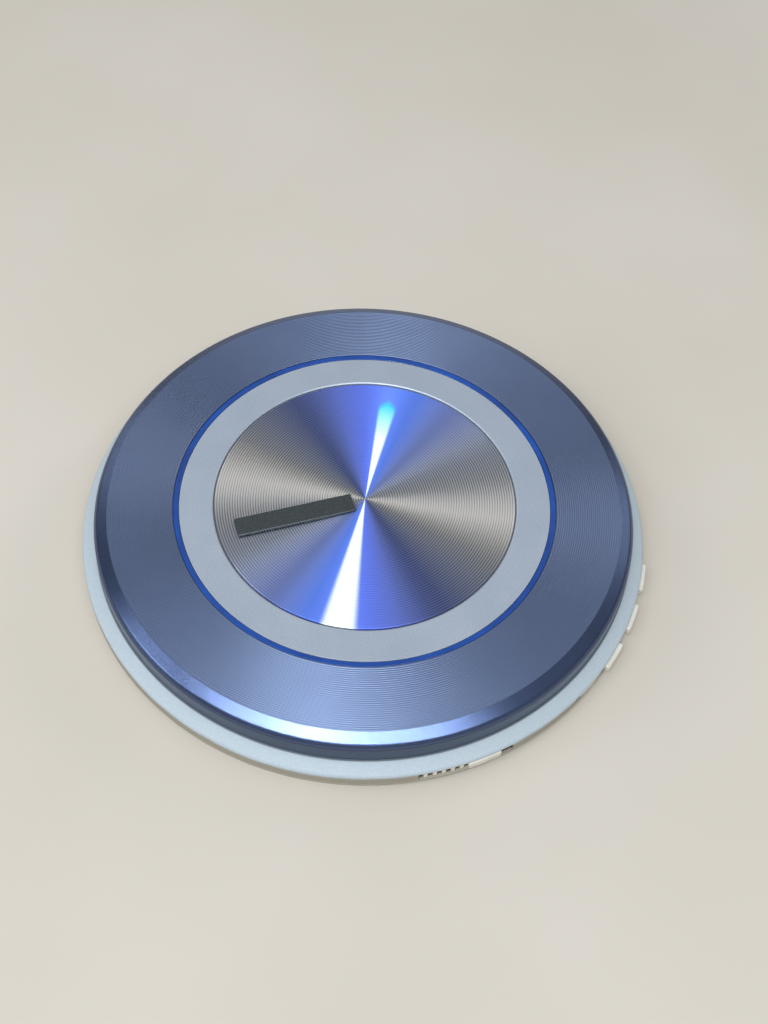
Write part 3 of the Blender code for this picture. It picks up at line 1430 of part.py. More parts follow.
def pickup_sled():
    """Die-cast sled: block with the actuator's recess, sleeve and fork on the shafts, nut arm."""
    bottom, top = sled_levels()
    lens = -LENS_START
    inner = lens + SLED_INWARD
    sled = block((lens - SLED_OUTWARD, -SLED_BLOCK_HALF, bottom), (inner, SLED_BLOCK_HALF, top))
    side_low = SHAFT_Z - SHAFT_RADIUS - SLED_SIDE / 2
    side_high = SHAFT_Z + SHAFT_RADIUS + SLED_SIDE / 2
    for side in (-1, 1):
        ys = sorted((side * (SLED_BLOCK_HALF - MERGE), side * (SHAFT_SPACING + SLED_SIDE)))
        join(sled, block((lens - SLEEVE_OUTWARD, ys[0], side_low), (inner, ys[1], side_high)))
        cut(sled, shaft_bore(side, RUNNING_FIT))
    fork = block(
        (lens - SLED_OUTWARD - OVERRUN, -SHAFT_SPACING - SLED_SIDE - OVERRUN, SHAFT_Z - SHAFT_RADIUS),
        (inner + OVERRUN, -SHAFT_SPACING, SHAFT_Z + SHAFT_RADIUS),
    )
    cut(sled, fork)
    reach = YOKE_SPREAD + YOKE_WALL + FIT / 2
    recess = block(
        (lens - reach, -HOLDER_HALF_WIDTH - FIT, yoke_bottom() - GLUE_LINE),
        (lens + reach, HOLDER_HALF_WIDTH + FIT, top + OVERRUN),
    )
    cut(sled, recess)
    beam = rod(LENS_RADIUS, (lens, 0, bottom - OVERRUN), (lens, 0, top), TINY_STEPS)
    cut(sled, beam)
    arm_left = lens - NUT_OUTWARD
    arm_face = LEAD_Y + LEAD_RADIUS + NUT_GAP
    arm = block(
        (arm_left, arm_face, side_low),
        (arm_left + NUT_ARM_LENGTH, -SHAFT_SPACING - SLED_SIDE + MERGE, SHAFT_Z - SHAFT_RADIUS - FIT / 2),
    )
    post = block(
        (arm_left, arm_face, side_low),
        (arm_left + NUT_ARM_LENGTH, -SHAFT_SPACING - SLED_SIDE - FIT, side_low + NUT_ARM_HEIGHT),
    )
    nut_x = arm_left + NUT_ARM_LENGTH / 2
    half = LEAD_PITCH * NUT_WIDTH_SHARE / 2
    tooth = block(
        (nut_x - half, arm_face - NUT_GAP - NUT_REACH, LEAD_Z - NUT_HEIGHT / 2),
        (nut_x + half, arm_face + MERGE, LEAD_Z + NUT_HEIGHT / 2),
    )
    join(sled, arm, post, tooth)
    return part("pickup_sled", sled, "die_cast", origin=(lens, 0, SHAFT_Z), parent=SLED_AXIS)


def yoke_bottom():
    return sled_levels()[1] - YOKE_BASE - FIT


def actuator():
    """Magnet yoke, the lens holder that floats between its walls, and the lens."""
    lens = -LENS_START
    low = yoke_bottom()
    wall_top = DECK_UNDER - FIT
    yoke = block(
        (lens - YOKE_SPREAD - YOKE_WALL, -YOKE_HALF_WIDTH, low),
        (lens + YOKE_SPREAD + YOKE_WALL, YOKE_HALF_WIDTH, low + YOKE_BASE),
    )
    for side in (-1, 1):
        xs = sorted((side * YOKE_SPREAD, side * (YOKE_SPREAD + YOKE_WALL)))
        wall = block((lens + xs[0], -YOKE_HALF_WIDTH, low), (lens + xs[1], YOKE_HALF_WIDTH, wall_top))
        join(yoke, wall)
    cut(yoke, rod(LENS_RADIUS, (lens, 0, 0), (lens, 0, wall_top), TINY_STEPS))
    part("actuator_yoke", yoke, "zinc_sheet", parent=SLED_AXIS)
    holder_top = DECK_TOP + HOLDER_TOP_RISE
    holder = block(
        (lens - HOLDER_HALF_LENGTH, -HOLDER_HALF_WIDTH, holder_top - HOLDER_HEIGHT),
        (lens + HOLDER_HALF_LENGTH, HOLDER_HALF_WIDTH, holder_top),
    )
    bevelled(holder, CONTROL_BEVEL)
    seat = LENS_RADIUS + RUNNING_FIT
    cut(
        holder,
        rod(seat, (lens, 0, holder_top - LENS_SINK), (lens, 0, holder_top + OVERRUN), SMALL_STEPS),
        rod(LENS_RADIUS - FIT, (lens, 0, 0), (lens, 0, LID_TOP), SMALL_STEPS),
    )
    part("lens_holder", holder, "black_moulding", origin=(lens, 0, holder_top), parent=LENS_AXIS)
    base = holder_top - LENS_SINK + GLUE_LINE
    shoulder = base + LENS_SINK / 2
    profile = [(0, shoulder + LENS_CROWN)]
    for angle in (30, 60, 90):
        turn = math.radians(angle)
        profile.append((LENS_RADIUS * math.sin(turn), shoulder + LENS_CROWN * math.cos(turn)))
    profile += [(LENS_RADIUS, base), (0, base)]
    lens_shape = shift(turned(profile, SMALL_STEPS, False), (lens, 0, 0))
    part("objective_lens", lens_shape, "lens_glass", origin=(lens, 0, holder_top), parent=LENS_AXIS)


def lead_ends():
    """Left and right ends of the threaded length."""
    left = -(LENS_END + NUT_OUTWARD) - LEAD_END_ROOM
    right = -(LENS_START + NUT_OUTWARD) + NUT_ARM_LENGTH + LEAD_END_ROOM
    return left, right


def lead_screw():
    """Shaft with one rounded ridge winding round it, turned by the feed motor."""
    left, right = lead_ends()
    core = rod(LEAD_CORE, (left, 0, 0), (right, 0, 0), TINY_STEPS)
    base = LEAD_PITCH * RIDGE_BASE_SHARE
    top = LEAD_PITCH * RIDGE_TOP_SHARE
    root = LEAD_CORE - RUNNING_FIT
    turns = int((right - left - 2 * base) / LEAD_PITCH)
    mesh = bpy.data.meshes.new("ridge")
    mesh.from_pydata(
        [(root, 0, base), (LEAD_RADIUS, 0, top), (LEAD_RADIUS, 0, -top), (root, 0, -base)],
        [(0, 1), (1, 2), (2, 3), (3, 0)],
        [],
    )
    ridge = loose(mesh)
    winding = ridge.modifiers.new("Wind", "SCREW")
    winding.steps = winding.render_steps = TINY_STEPS
    winding.screw_offset = LEAD_PITCH
    winding.iterations = turns
    settle(ridge)
    close_ends(ridge)
    length = turns * LEAD_PITCH
    start = (left + right - length) / 2
    ridge.data.transform(Matrix.Translation((start, 0, 0)) @ Matrix.Rotation(math.pi / 2, 4, "Y"))
    join(core, ridge)
    journal_left = left - BRACKET_WALL + FIT / 2
    journal_right = right + BRACKET_WALL + FIT
    join(core, rod(LEAD_JOURNAL, (journal_left, 0, 0), (journal_right, 0, 0), TINY_STEPS))
    phase_screw(core, start)
    shift(core, (0, LEAD_Y, LEAD_Z))
    return part("lead_screw", core, "bright_steel", origin=(left, LEAD_Y, LEAD_Z))


def phase_screw(core, start):
    """Turns the screw so that the nut's tooth lies between two ridges at rest."""
    nut_x = -LENS_START - NUT_OUTWARD + NUT_ARM_LENGTH / 2
    phase = 2 * math.pi * ((nut_x - start) / LEAD_PITCH - 0.5)
    core.data.transform(Matrix.Rotation(math.pi / 2 - phase, 4, "X"))


def close_ends(obj):
    shape = bmesh.new()
    shape.from_mesh(obj.data)
    bmesh.ops.remove_doubles(shape, verts=shape.verts, dist=WELD)
    bmesh.ops.holes_fill(shape, edges=shape.edges, sides=0)
    bmesh.ops.recalc_face_normals(shape, faces=shape.faces)
    shape.to_mesh(obj.data)
    shape.free()


def feed_unit():
    """Bracket that carries the lead screw, and the motor on its inner end."""
    left, right = lead_ends()
    gap = FIT
    bottom = CHASSIS_TOP + GLUE_LINE
    top = bottom + BRACKET_THICKNESS
    bar = block(
        (left - gap - BRACKET_WALL, LEAD_Y - BRACKET_HALF_WIDTH, bottom),
        (right + gap + BRACKET_WALL, -MECH_HALF_WIDTH + BRACKET_LAP, top),
    )
    for x in (left - gap - BRACKET_WALL, right + gap):
        low = (x, LEAD_Y - BRACKET_END_HALF, bottom - BRACKET_DROP)
        join(bar, block(low, (x + BRACKET_WALL, LEAD_Y + BRACKET_END_HALF, top - MERGE)))
    bore = LEAD_JOURNAL + RUNNING_FIT
    cut(bar, rod(bore, (left - OVERRUN, LEAD_Y, LEAD_Z), (right + OVERRUN, LEAD_Y, LEAD_Z), TINY_STEPS))
    part("feed_bracket", bar, "zinc_sheet")
    start = right + gap + BRACKET_WALL + GLUE_LINE
    motor = rod(
        FEED_MOTOR_RADIUS, (start, LEAD_Y, LEAD_Z), (start + FEED_MOTOR_LENGTH, LEAD_Y, LEAD_Z), SMALL_STEPS
    )
    bore_end = start + OVERRUN / 2
    cut(motor, rod(bore, (start - OVERRUN, LEAD_Y, LEAD_Z), (bore_end, LEAD_Y, LEAD_Z), TINY_STEPS))
    part("feed_motor", bevelled(motor, CONTROL_BEVEL), "zinc_sheet")


# Board


def board_outline():
    """Board round the front and the right side, clear of the drive and of the bay."""
    radius = BODY_RADIUS - CORNER_RADIUS - BOARD_RIM_GAP / 4
    drive_front = -MECH_HALF_WIDTH - BRACKET_DROP - BOARD_GAP
    damper_front = DAMPER_PLACES[1][1] - EAR_RADIUS - FIT
    step_x = DAMPER_PLACES[1][0] + EAR_RADIUS + BOARD_GAP
    drive_right = DAMPER_PLACES[2][0] + EAR_RADIUS + BOARD_GAP
    bay_right = BAY_HALF_LENGTH + BAY_WALL + BOARD_GAP
    bay_front = BAY_FRONT - BAY_WALL - BOARD_GAP
    left = math.degrees(math.asin(-damper_front / radius))
    last = JACK_AZIMUTHS[1] + math.degrees(JACK_WIDTH / radius)
    rim = [(x, y) for x, y in arc((0, 0), radius, 180 + left, 270 + last, 30)]
    return rim + [
        (bay_right, rim[-1][1]),
        (bay_right, bay_front),
        (drive_right, bay_front),
        (drive_right, drive_front),
        (step_x, drive_front),
        (step_x, damper_front),
    ]


def main_board():
    board = plate(board_outline(), BOARD_Z, BOARD_TOP)
    for azimuth, radius in SCREW_PLACES:
        x, y = polar(azimuth, radius)
        cut(board, rod(BOSS_RADIUS + FIT, (x, y, 0), (x, y, LID_TOP), SMALL_STEPS))
    half = JACK_WIDTH / 2 + FIT
    for azimuth in JACK_AZIMUTHS:
        inner = JACK_BACK - FIT
        cut(board, spin(block((-half, -BODY_RADIUS, 0), (half, -inner, LID_TOP)), azimuth))
    return part("main_board", board, "board_green")


def processor_chip():
    x, y = CHIP_PLACE
    half = CHIP_SIZE / 2
    chip = block((x - half, y - half, BOARD_TOP + GLUE_LINE), (x + half, y + half, BOARD_TOP + CHIP_HEIGHT))
    part("processor_chip", bevelled(chip, CHIP_BEVEL), "chip_black")


def lid_switch():
    """Switch under the hook, pressed when the lid is shut."""
    left, right, front, back = hook_frame()
    middle = (left + right) / 2
    top = BOARD_TOP + SWITCH_HEIGHT / 2
    body = block(
        (middle - SWITCH_WIDTH / 2, front, BOARD_TOP + GLUE_LINE),
        (middle + SWITCH_WIDTH / 2, front + SWITCH_DEPTH, top),
    )
    button = rod(
        PLUNGER_RADIUS,
        (middle, (front + back) / 2, top - MERGE),
        (middle, (front + back) / 2, top + HOOK_BOTTOM_GAP - FIT),
        TINY_STEPS,
    )
    part("lid_switch", join(body, button), "black_moulding")


def jacks():
    """Headphone and power sockets, each bored from the rim."""
    z = jack_height()
    half_height = JACK_HEIGHT / 2
    inner = -JACK_BACK
    bore_end = -JACK_FACE + BORE_DEPTH
    outer = -BODY_INNER - SHELL_WALL / 2
    for name, azimuth, bore in (
        ("headphone_jack", JACK_AZIMUTHS[0], PHONE_BORE),
        ("dc_jack", JACK_AZIMUTHS[1], POWER_BORE),
    ):
        body = block((-JACK_WIDTH / 2, -JACK_FACE, z - half_height), (JACK_WIDTH / 2, inner, z + half_height))
        trim(body, rod(JACK_FACE - FIT, (0, 0, -OVERRUN), (0, 0, LID_TOP), FINE_STEPS))
        collar_radius = bore + JACK_COLLAR - RUNNING_FIT
        join(body, rod(collar_radius, (0, outer, z), (0, -JACK_FACE + JACK_INSET, z), SMALL_STEPS))
        cut(body, rod(bore, (0, -BODY_RADIUS, z), (0, bore_end, z), SMALL_STEPS))
        if name == "dc_jack":
            join(body, rod(POWER_PIN, (0, -JACK_FACE, z), (0, bore_end + MERGE, z), TINY_STEPS))
        part(name, spin(body, azimuth), "black_moulding", azimuth=azimuth)


def board_ribbon():
    """Flat cable from the drive's motor to the board."""
    width = SWITCH_WIDTH
    front = -MECH_HALF_WIDTH - BRACKET_DROP - BOARD_GAP - RIBBON_LAP
    start = -MOTOR_RADIUS - GLUE_LINE
    low = BOARD_TOP + GLUE_LINE
    high = CHASSIS_Z - MOTOR_HEIGHT + OVERRUN
    thickness = FIT / 2
    outline = [
        (start, high),
        (start, high + thickness),
        ((start + front) / 2, high + thickness),
        (front, low + thickness),
        (front - width, low + thickness),
        (front - width, low),
        (front, low),
        ((start + front) / 2, high),
    ]
    part("board_ribbon", side_plate(outline, -width / 2, width / 2), "copper_film")


# Battery bay


def door_axis():
    """Y and Z of the battery door's hinge."""
    return BAY_FRONT + FIT / 2 + DOOR_PIN_SETBACK, SHELL_BOTTOM + DOOR_WALL / 2


def battery_door():
    """Door flush with the bottom, on two stub pins, with a grip recess at its free edge."""
    pin_y, pin_z = door_axis()
    half = BAY_HALF_LENGTH - FIT
    outline = rounded_rectangle((-half, BAY_FRONT + FIT), (half, BAY_REAR - FIT), DOOR_CORNER)
    door = plate(outline, SHELL_BOTTOM, SHELL_BOTTOM + DOOR_WALL)
    grip = block(
        (-DOOR_GRIP_WIDTH / 2, BAY_REAR - FIT - 2 * DOOR_GRIP_LENGTH, -OVERRUN),
        (DOOR_GRIP_WIDTH / 2, BAY_REAR - FIT - DOOR_GRIP_LENGTH, SHELL_BOTTOM + DOOR_GRIP_DEPTH),
    )
    cut(door, grip)
    reach = BAY_HALF_LENGTH + DOOR_PIN_LENGTH - RUNNING_FIT
    join(door, rod(DOOR_PIN_RADIUS, (-reach, pin_y, pin_z), (reach, pin_y, pin_z), TINY_STEPS))
    return part("battery_door", door, "pale_case", origin=(0, pin_y, pin_z))


def battery_contacts():
    """Leaf contacts at the ends of the cells, the left one bridging both."""
    z = SHELL_BOTTOM + DOOR_WALL + CELL_THICKNESS / 2
    lane = CELL_WIDTH / 2 + CELL_SIDE_GAP
    front = BAY_FRONT + lane
    rear = BAY_REAR - lane
    wall = BAY_HALF_LENGTH - GLUE_LINE
    for name, side, low, high in (
        ("contact_plus", 1, front - CONTACT_WIDTH / 2, front + CONTACT_WIDTH / 2),
        ("contact_minus", 1, rear - CONTACT_WIDTH / 2, rear + CONTACT_WIDTH / 2),
        ("contact_bridge", -1, front - CONTACT_WIDTH / 2, rear + CONTACT_WIDTH / 2),
    ):
        xs = sorted((side * wall, side * (wall - CONTACT_WALL)))
        leaf = block((xs[0], low, z - CONTACT_HEIGHT / 2), (xs[1], high, z + CONTACT_HEIGHT / 2))
        part(name, leaf, "sprung_bronze")


clear_scene()
PARTS = new_collection("portable_disc_player")
LID_AXIS = axis_empty("lid_axis", (0, PIVOT_Y, PIVOT_Z))
SPINDLE_AXIS = axis_empty("spindle_axis", (0, 0, SEAT_Z))
SLED_AXIS = axis_empty("sled_axis", (-LENS_START, 0, SHAFT_Z))
LENS_AXIS = axis_empty("lens_axis", (-LENS_START, 0, DECK_TOP))
LENS_AXIS.parent = SLED_AXIS
LENS_AXIS.matrix_parent_inverse = SLED_AXIS.matrix_world.inverted()
bpy.context.view_layer.update()

lid_panel()
lid_face()
lid_frame()
lid_hook()
upper_cabinet()
bottom_shell()
case_screws()
feet()
hinge_hardware()
keys()
key_switches()
open_slider()
hold_slider()
mech_chassis()
mech_dampers()
guide_shafts()
spindle_motor()
turntable()
clamp_pawls()
pickup_sled()
actuator()
lead_screw()
feed_unit()
main_board()
processor_chip()
lid_switch()
jacks()
board_ribbon()
battery_door()
battery_contacts()
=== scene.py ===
# %% [markdown]
# # A slim portable disc player, dressed for a studio render
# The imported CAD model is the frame: it gives every place and size. This notebook adds the
# smooth metal and plastic surfaces that the eye sees, and the finish of every piece.

import bmesh
import bpy
import numpy as np
from mathutils import Matrix, Quaternion, Vector


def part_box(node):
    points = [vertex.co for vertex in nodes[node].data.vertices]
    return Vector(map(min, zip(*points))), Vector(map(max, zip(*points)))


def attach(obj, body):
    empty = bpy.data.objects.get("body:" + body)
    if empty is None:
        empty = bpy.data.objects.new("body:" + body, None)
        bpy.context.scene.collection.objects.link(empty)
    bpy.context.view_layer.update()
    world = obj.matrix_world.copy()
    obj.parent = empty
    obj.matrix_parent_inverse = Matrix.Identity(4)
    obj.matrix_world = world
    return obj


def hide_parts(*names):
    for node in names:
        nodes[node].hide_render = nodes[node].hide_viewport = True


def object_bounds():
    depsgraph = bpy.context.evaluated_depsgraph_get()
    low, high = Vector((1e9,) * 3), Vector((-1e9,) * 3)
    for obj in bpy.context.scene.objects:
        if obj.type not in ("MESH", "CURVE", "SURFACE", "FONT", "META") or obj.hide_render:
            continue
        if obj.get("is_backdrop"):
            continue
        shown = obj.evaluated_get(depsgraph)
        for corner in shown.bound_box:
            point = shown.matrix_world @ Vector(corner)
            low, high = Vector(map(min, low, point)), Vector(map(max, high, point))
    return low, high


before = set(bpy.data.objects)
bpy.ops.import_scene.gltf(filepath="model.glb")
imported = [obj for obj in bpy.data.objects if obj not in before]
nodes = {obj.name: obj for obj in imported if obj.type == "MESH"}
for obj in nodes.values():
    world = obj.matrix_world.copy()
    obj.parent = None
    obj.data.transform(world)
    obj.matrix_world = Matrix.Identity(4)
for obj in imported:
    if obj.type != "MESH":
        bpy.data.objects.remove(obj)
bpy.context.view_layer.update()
MM = 0.001

# %% [markdown]
# ## Camera
# The photograph looks down on the lid from the front left, at about 54 degrees. A camera could
# be placed by eye, but a small error shows at once in a set of rings. So it was fitted to the
# rings instead: a distance, three small turns and a lens. Blender's camera looks along its own
# -Z, so the rows of the fitted rotation become the columns of its matrix.

# %% Camera
IMAGE_WIDTH = 768
FOCAL_PIXELS = 1284.54
SENSOR_WIDTH = 36.0
CAMERA_DISTANCE = 301.03 * MM
CAMERA_ELEVATION = 0.943266
CAMERA_TURNS = (0.0107886, 0.0148893, -0.0319499)
OBJECT_TURN = np.radians(17.3)
LID_TOP = 16.0 * MM


def rotation(axis, angle):
    """Rotation matrix about X, Y or Z: the cosine on the diagonal and the sine beside it."""
    return np.array(Matrix.Rotation(angle, 3, axis))


pitch, yaw, roll = CAMERA_TURNS
place = CAMERA_DISTANCE * np.array([0, -np.cos(CAMERA_ELEVATION), np.sin(CAMERA_ELEVATION)])
forward = -place / np.linalg.norm(place)
right = np.array([1.0, 0, 0])
level = np.stack([right, np.cross(right, forward), -forward])
turned_rows = rotation("Z", roll) @ rotation("X", pitch) @ rotation("Y", yaw) @ level
camera_rows = turned_rows @ rotation("Z", OBJECT_TURN)
camera_place = rotation("Z", -OBJECT_TURN) @ place + [0, 0, LID_TOP]

camera_data = bpy.data.cameras.new("photo_camera")
camera_data.sensor_fit = "HORIZONTAL"
camera_data.sensor_width = SENSOR_WIDTH
camera_data.lens = FOCAL_PIXELS * SENSOR_WIDTH / IMAGE_WIDTH
camera_data.clip_start = 0.01
camera_data.clip_end = 20
camera = bpy.data.objects.new("photo_camera", camera_data)
bpy.context.scene.collection.objects.link(camera)
camera.matrix_world = Matrix.Translation(camera_place) @ Matrix(camera_rows.T.tolist()).to_4x4()
bpy.context.scene.camera = camera
bpy.context.scene.view_settings.view_transform = "Standard"
print(f"lens {camera_data.lens:.2f} mm, camera at {np.round(camera_place / MM, 1)} mm")

# %% [markdown]
# ## Colours and nodes
# Colours are written as sRGB hex, as a paint chart gives them, and turned to the linear values
# that Cycles mixes. A material could be drawn by hand in the node editor. Written out it can be
# read and rebuilt, and one small function is enough: it adds a node, sets it and links it.


# %% Colour and node helpers
def srgb(code):
    """sRGB hex to linear: ((c + 0.055) / 1.055) to the power 2.4, or c / 12.92 where it is dark."""
    c = np.array([int(code[i : i + 2], 16) for i in (0, 2, 4)]) / 255
    linear = np.where(c <= 0.04045, c / 12.92, ((c + 0.055) / 1.055) ** 2.4)
    return (*linear.tolist(), 1.0)


def add(tree, kind, inputs=None, stops=(), **settings):
    """Adds a shader node, sets its properties, and fills its inputs with values or with sockets.
    The stops are a colour ramp's own: (position, sRGB hex)."""
    node = tree.nodes.new("ShaderNode" + kind)
    for key, value in settings.items():
        setattr(node, key, value)
    for key, value in (inputs or {}).items():
        if isinstance(value, bpy.types.NodeSocket):
            tree.links.new(value, node.inputs[key])
        else:
            node.inputs[key].default_value = value
    while stops and len(node.color_ramp.elements) < len(stops):
        node.color_ramp.elements.new(0.5)
    for element, (position, code) in zip(node.color_ramp.elements if stops else (), stops):
        element.position = position
        element.color = srgb(code)
    return node


def finish_of(name, **values):
    """A new material with its Principled shader: (material, tree, shader)."""
    material = bpy.data.materials.new(name)
    material.use_nodes = True
    tree = material.node_tree
    shader = tree.nodes["Principled BSDF"]
    for key, value in values.items():
        shader.inputs[key.replace("_", " ")].default_value = value
    return material, tree, shader


print("half grey 808080 is", round(srgb("808080")[0], 3), "in linear light")

# %% [markdown]
# ## Floor and light
# A pale matt floor, an even pale room, and five lamps. One picture of a room could light it
# all, but separate lamps let each reflection be put where it belongs. A small round lamp high
# at the front left makes the bright fan on the spun disc. A long panel beside it makes the
# glint along the front chamfer. Two weak panels low behind, one on each side, are gathered by
# the disc's rings into its silver wedges, and a cool window on the left lights that side.

# %% Floor
FLOOR_HALF = 3.0
floor_mesh = bpy.data.meshes.new("pale_floor")
corners = FLOOR_HALF * np.array([(-1, -1, 0), (1, -1, 0), (1, 1, 0), (-1, 1, 0)])
floor_mesh.from_pydata(corners.tolist(), [], [(0, 1, 2, 3)])
floor = bpy.data.objects.new("pale_floor", floor_mesh)
bpy.context.scene.collection.objects.link(floor)
floor_paint, tree, shader = finish_of("matt_floor_paint", Roughness=0.85)
coordinates = add(tree, "TexCoord")
mottle = add(tree, "TexNoise", {"Vector": coordinates.outputs["Object"], "Scale": 9.0, "Detail": 3.0})
pale = add(tree, "ValToRGB", {"Fac": mottle.outputs["Fac"]}, stops=[(0.35, "cdc6b9"), (0.65, "d3ccc0")])
tree.links.new(pale.outputs["Color"], shader.inputs["Base Color"])
floor_mesh.materials.append(floor_paint)
floor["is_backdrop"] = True
print("floor", FLOOR_HALF * 2, "m wide")

# %% Room light
world = bpy.data.worlds.new("pale_room")
bpy.context.scene.world = world
world.use_nodes = True
tree = world.node_tree
direction = add(tree, "TexCoord").outputs["Generated"]
height = add(tree, "SeparateXYZ", {"Vector": direction}).outputs["Z"]
sky = add(tree, "ValToRGB", {"Fac": height}, stops=[(0.0, "8a8c90"), (0.35, "a9abae"), (1.0, "c4c6c9")])
tree.links.new(sky.outputs["Color"], tree.nodes["Background"].inputs["Color"])
tree.nodes["Background"].inputs["Strength"].default_value = 0.72
print("room", world.name)


# %% Lamps
def lamp(name, azimuth, elevation, distance, size, power, code, turn=0):
    """An area lamp that looks at the player from azimuth and elevation in degrees: the azimuth
    counts from the front towards +X. A pair of sizes gives an oval panel, one size a disc."""
    data = bpy.data.lights.new(name, "AREA")
    data.shape = "ELLIPSE" if isinstance(size, tuple) else "DISK"
    data.size = size[0] if isinstance(size, tuple) else size
    if isinstance(size, tuple):
        data.size_y = size[1]
    data.energy = power
    data.color = srgb(code)[:3]
    obj = bpy.data.objects.new(name, data)
    bpy.context.scene.collection.objects.link(obj)
    a, e = np.radians(azimuth), np.radians(elevation)
    away = Vector((np.sin(a) * np.cos(e), -np.cos(a) * np.cos(e), np.sin(e)))
    obj.location = away * distance
    obj.rotation_mode = "QUATERNION"
    obj.rotation_quaternion = away.to_track_quat("Z", "Y") @ Quaternion((0, 0, 1), np.radians(turn))


lamp("ceiling_lamp", -37, 62, 1.1, 0.12, 1.6, "ffffff")
lamp("ceiling_panel", -27, 60, 1.2, (1.65, 0.27), 10.5, "f4f9ff")
lamp("rear_right_panel", 107, 29, 1.3, (0.60, 0.26), 1.25, "fffdf8", turn=-43)
lamp("rear_left_panel", -153, 23, 1.3, (0.60, 0.26), 1.15, "fffdf8", turn=40)
lamp("left_window", -95, 30, 1.3, 0.6, 2.3, "f2f7ff")

# %% [markdown]
# ## Surfaces from numbers
# Nearly everything on this player was turned on a lathe or drawn in a press, so most pieces are
# one closed outline carried round the axis. The Screw modifier could carry it. Arrays do it
# here, because the UV map and the notch over the hinge then come from the same numbers. Each
# corner of an outline is rounded a little: a rounded edge catches the light on a real pressing.


# %% Mesh helpers
GRAIN_MAP = "along_and_round"
WELD = 1e-7


def mesh_object(name, points, faces, uv=None):
    """Puts arrays into a mesh, welds poles and seams, and turns it right side out by its volume."""
    mesh = bpy.data.meshes.new(name)
    mesh.from_pydata(points.reshape(-1, 3), [], faces)
    if uv is not None:
        layer = mesh.uv_layers.new(name=GRAIN_MAP)
        corners = np.empty(len(mesh.loops), np.int32)
        mesh.loops.foreach_get("vertex_index", corners)
        layer.uv.foreach_set("vector", uv.reshape(-1, 2)[corners].astype(np.float32).ravel())
    shape = bmesh.new()
    shape.from_mesh(mesh)
    bmesh.ops.remove_doubles(shape, verts=shape.verts, dist=WELD)
    bmesh.ops.dissolve_degenerate(shape, edges=shape.edges, dist=WELD / 10)
    if shape.calc_volume(signed=True) < 0:
        bmesh.ops.reverse_faces(shape, faces=shape.faces)
    shape.to_mesh(mesh)
    shape.free()
    mesh.shade_smooth()
    obj = bpy.data.objects.new(name, mesh)
    bpy.context.scene.collection.objects.link(obj)
    return obj


def grid_faces(rows, columns, wrap_rows=True, wrap_columns=True):
    """The four corners of each cell of a grid of points, the last row or column joined to the first."""
    i = np.arange(rows if wrap_rows else rows - 1)[:, None]
    j = np.arange(columns if wrap_columns else columns - 1)[None, :]
    i2, j2 = (i + 1) % rows, (j + 1) % columns
    cells = np.stack([i * columns + j, i2 * columns + j, i2 * columns + j2, i * columns + j2], axis=-1)
    return cells.reshape(-1, 4)


BEYOND = 1.25


def rounded(corners, radii, steps=5):
    """Rounds a closed outline: at each corner P a curve (1-t)^2 A + 2t(1-t) P + t^2 B, where A and B
    lie one radius before and after it. A point just beyond each end keeps the flats flat."""
    p = np.asarray(corners, float) * MM
    r = (np.broadcast_to(radii, len(p)).astype(float) * MM)[:, None]
    before = np.roll(p, 1, 0) - p
    after = np.roll(p, -1, 0) - p
    before /= np.linalg.norm(before, axis=1, keepdims=True)
    after /= np.linalg.norm(after, axis=1, keepdims=True)
    t = np.linspace(0, 1, steps)[None, :, None]
    a, b = (p + r * before)[:, None], (p + r * after)[:, None]
    curve = (1 - t) ** 2 * a + 2 * t * (1 - t) * p[:, None] + t**2 * b
    lead = (p + BEYOND * r * before)[:, None]
    tail = (p + BEYOND * r * after)[:, None]
    return np.concatenate([lead, curve, tail], axis=1).reshape(-1, 2)


UV_REACH = 70 * MM


def lathe(name, outline, columns=360, lift=None, centre=(0, 0)):
    """Carries a closed (radius, height) outline round Z: x = r cos a, y = r sin a, z = h.
    The UV map runs outwards in U and round in V, so that a brushed metal knows its grain."""
    angle = np.linspace(0, 2 * np.pi, columns, endpoint=False) if lift is None else lift[0]
    radius, height = outline[:, :1], outline[:, 1:]
    z = np.broadcast_to(height, (len(outline), len(angle)))
    if lift is not None:
        z = np.maximum(z, lift[1][None, :])
    points = np.stack([radius * np.cos(angle), radius * np.sin(angle), z], axis=-1)
    points[..., :2] += np.asarray(centre) * MM
    uv = np.stack(np.broadcast_arrays(radius / UV_REACH, angle / (2 * np.pi)), axis=-1)
    return mesh_object(name, points, grid_faces(*points.shape[:2]), uv)


def settle(piece, material, *stands_for, body):
    """Gives a piece its finish, puts it on its body and lets it stand for CAD nodes."""
    piece.data.materials.clear()
    piece.data.materials.append(material)
    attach(piece, body)
    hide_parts(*stands_for)
    print(piece.name, len(piece.data.polygons), "faces, on", body)


print("a closed grid of 3 by 4 points has", len(grid_faces(3, 4)), "faces")
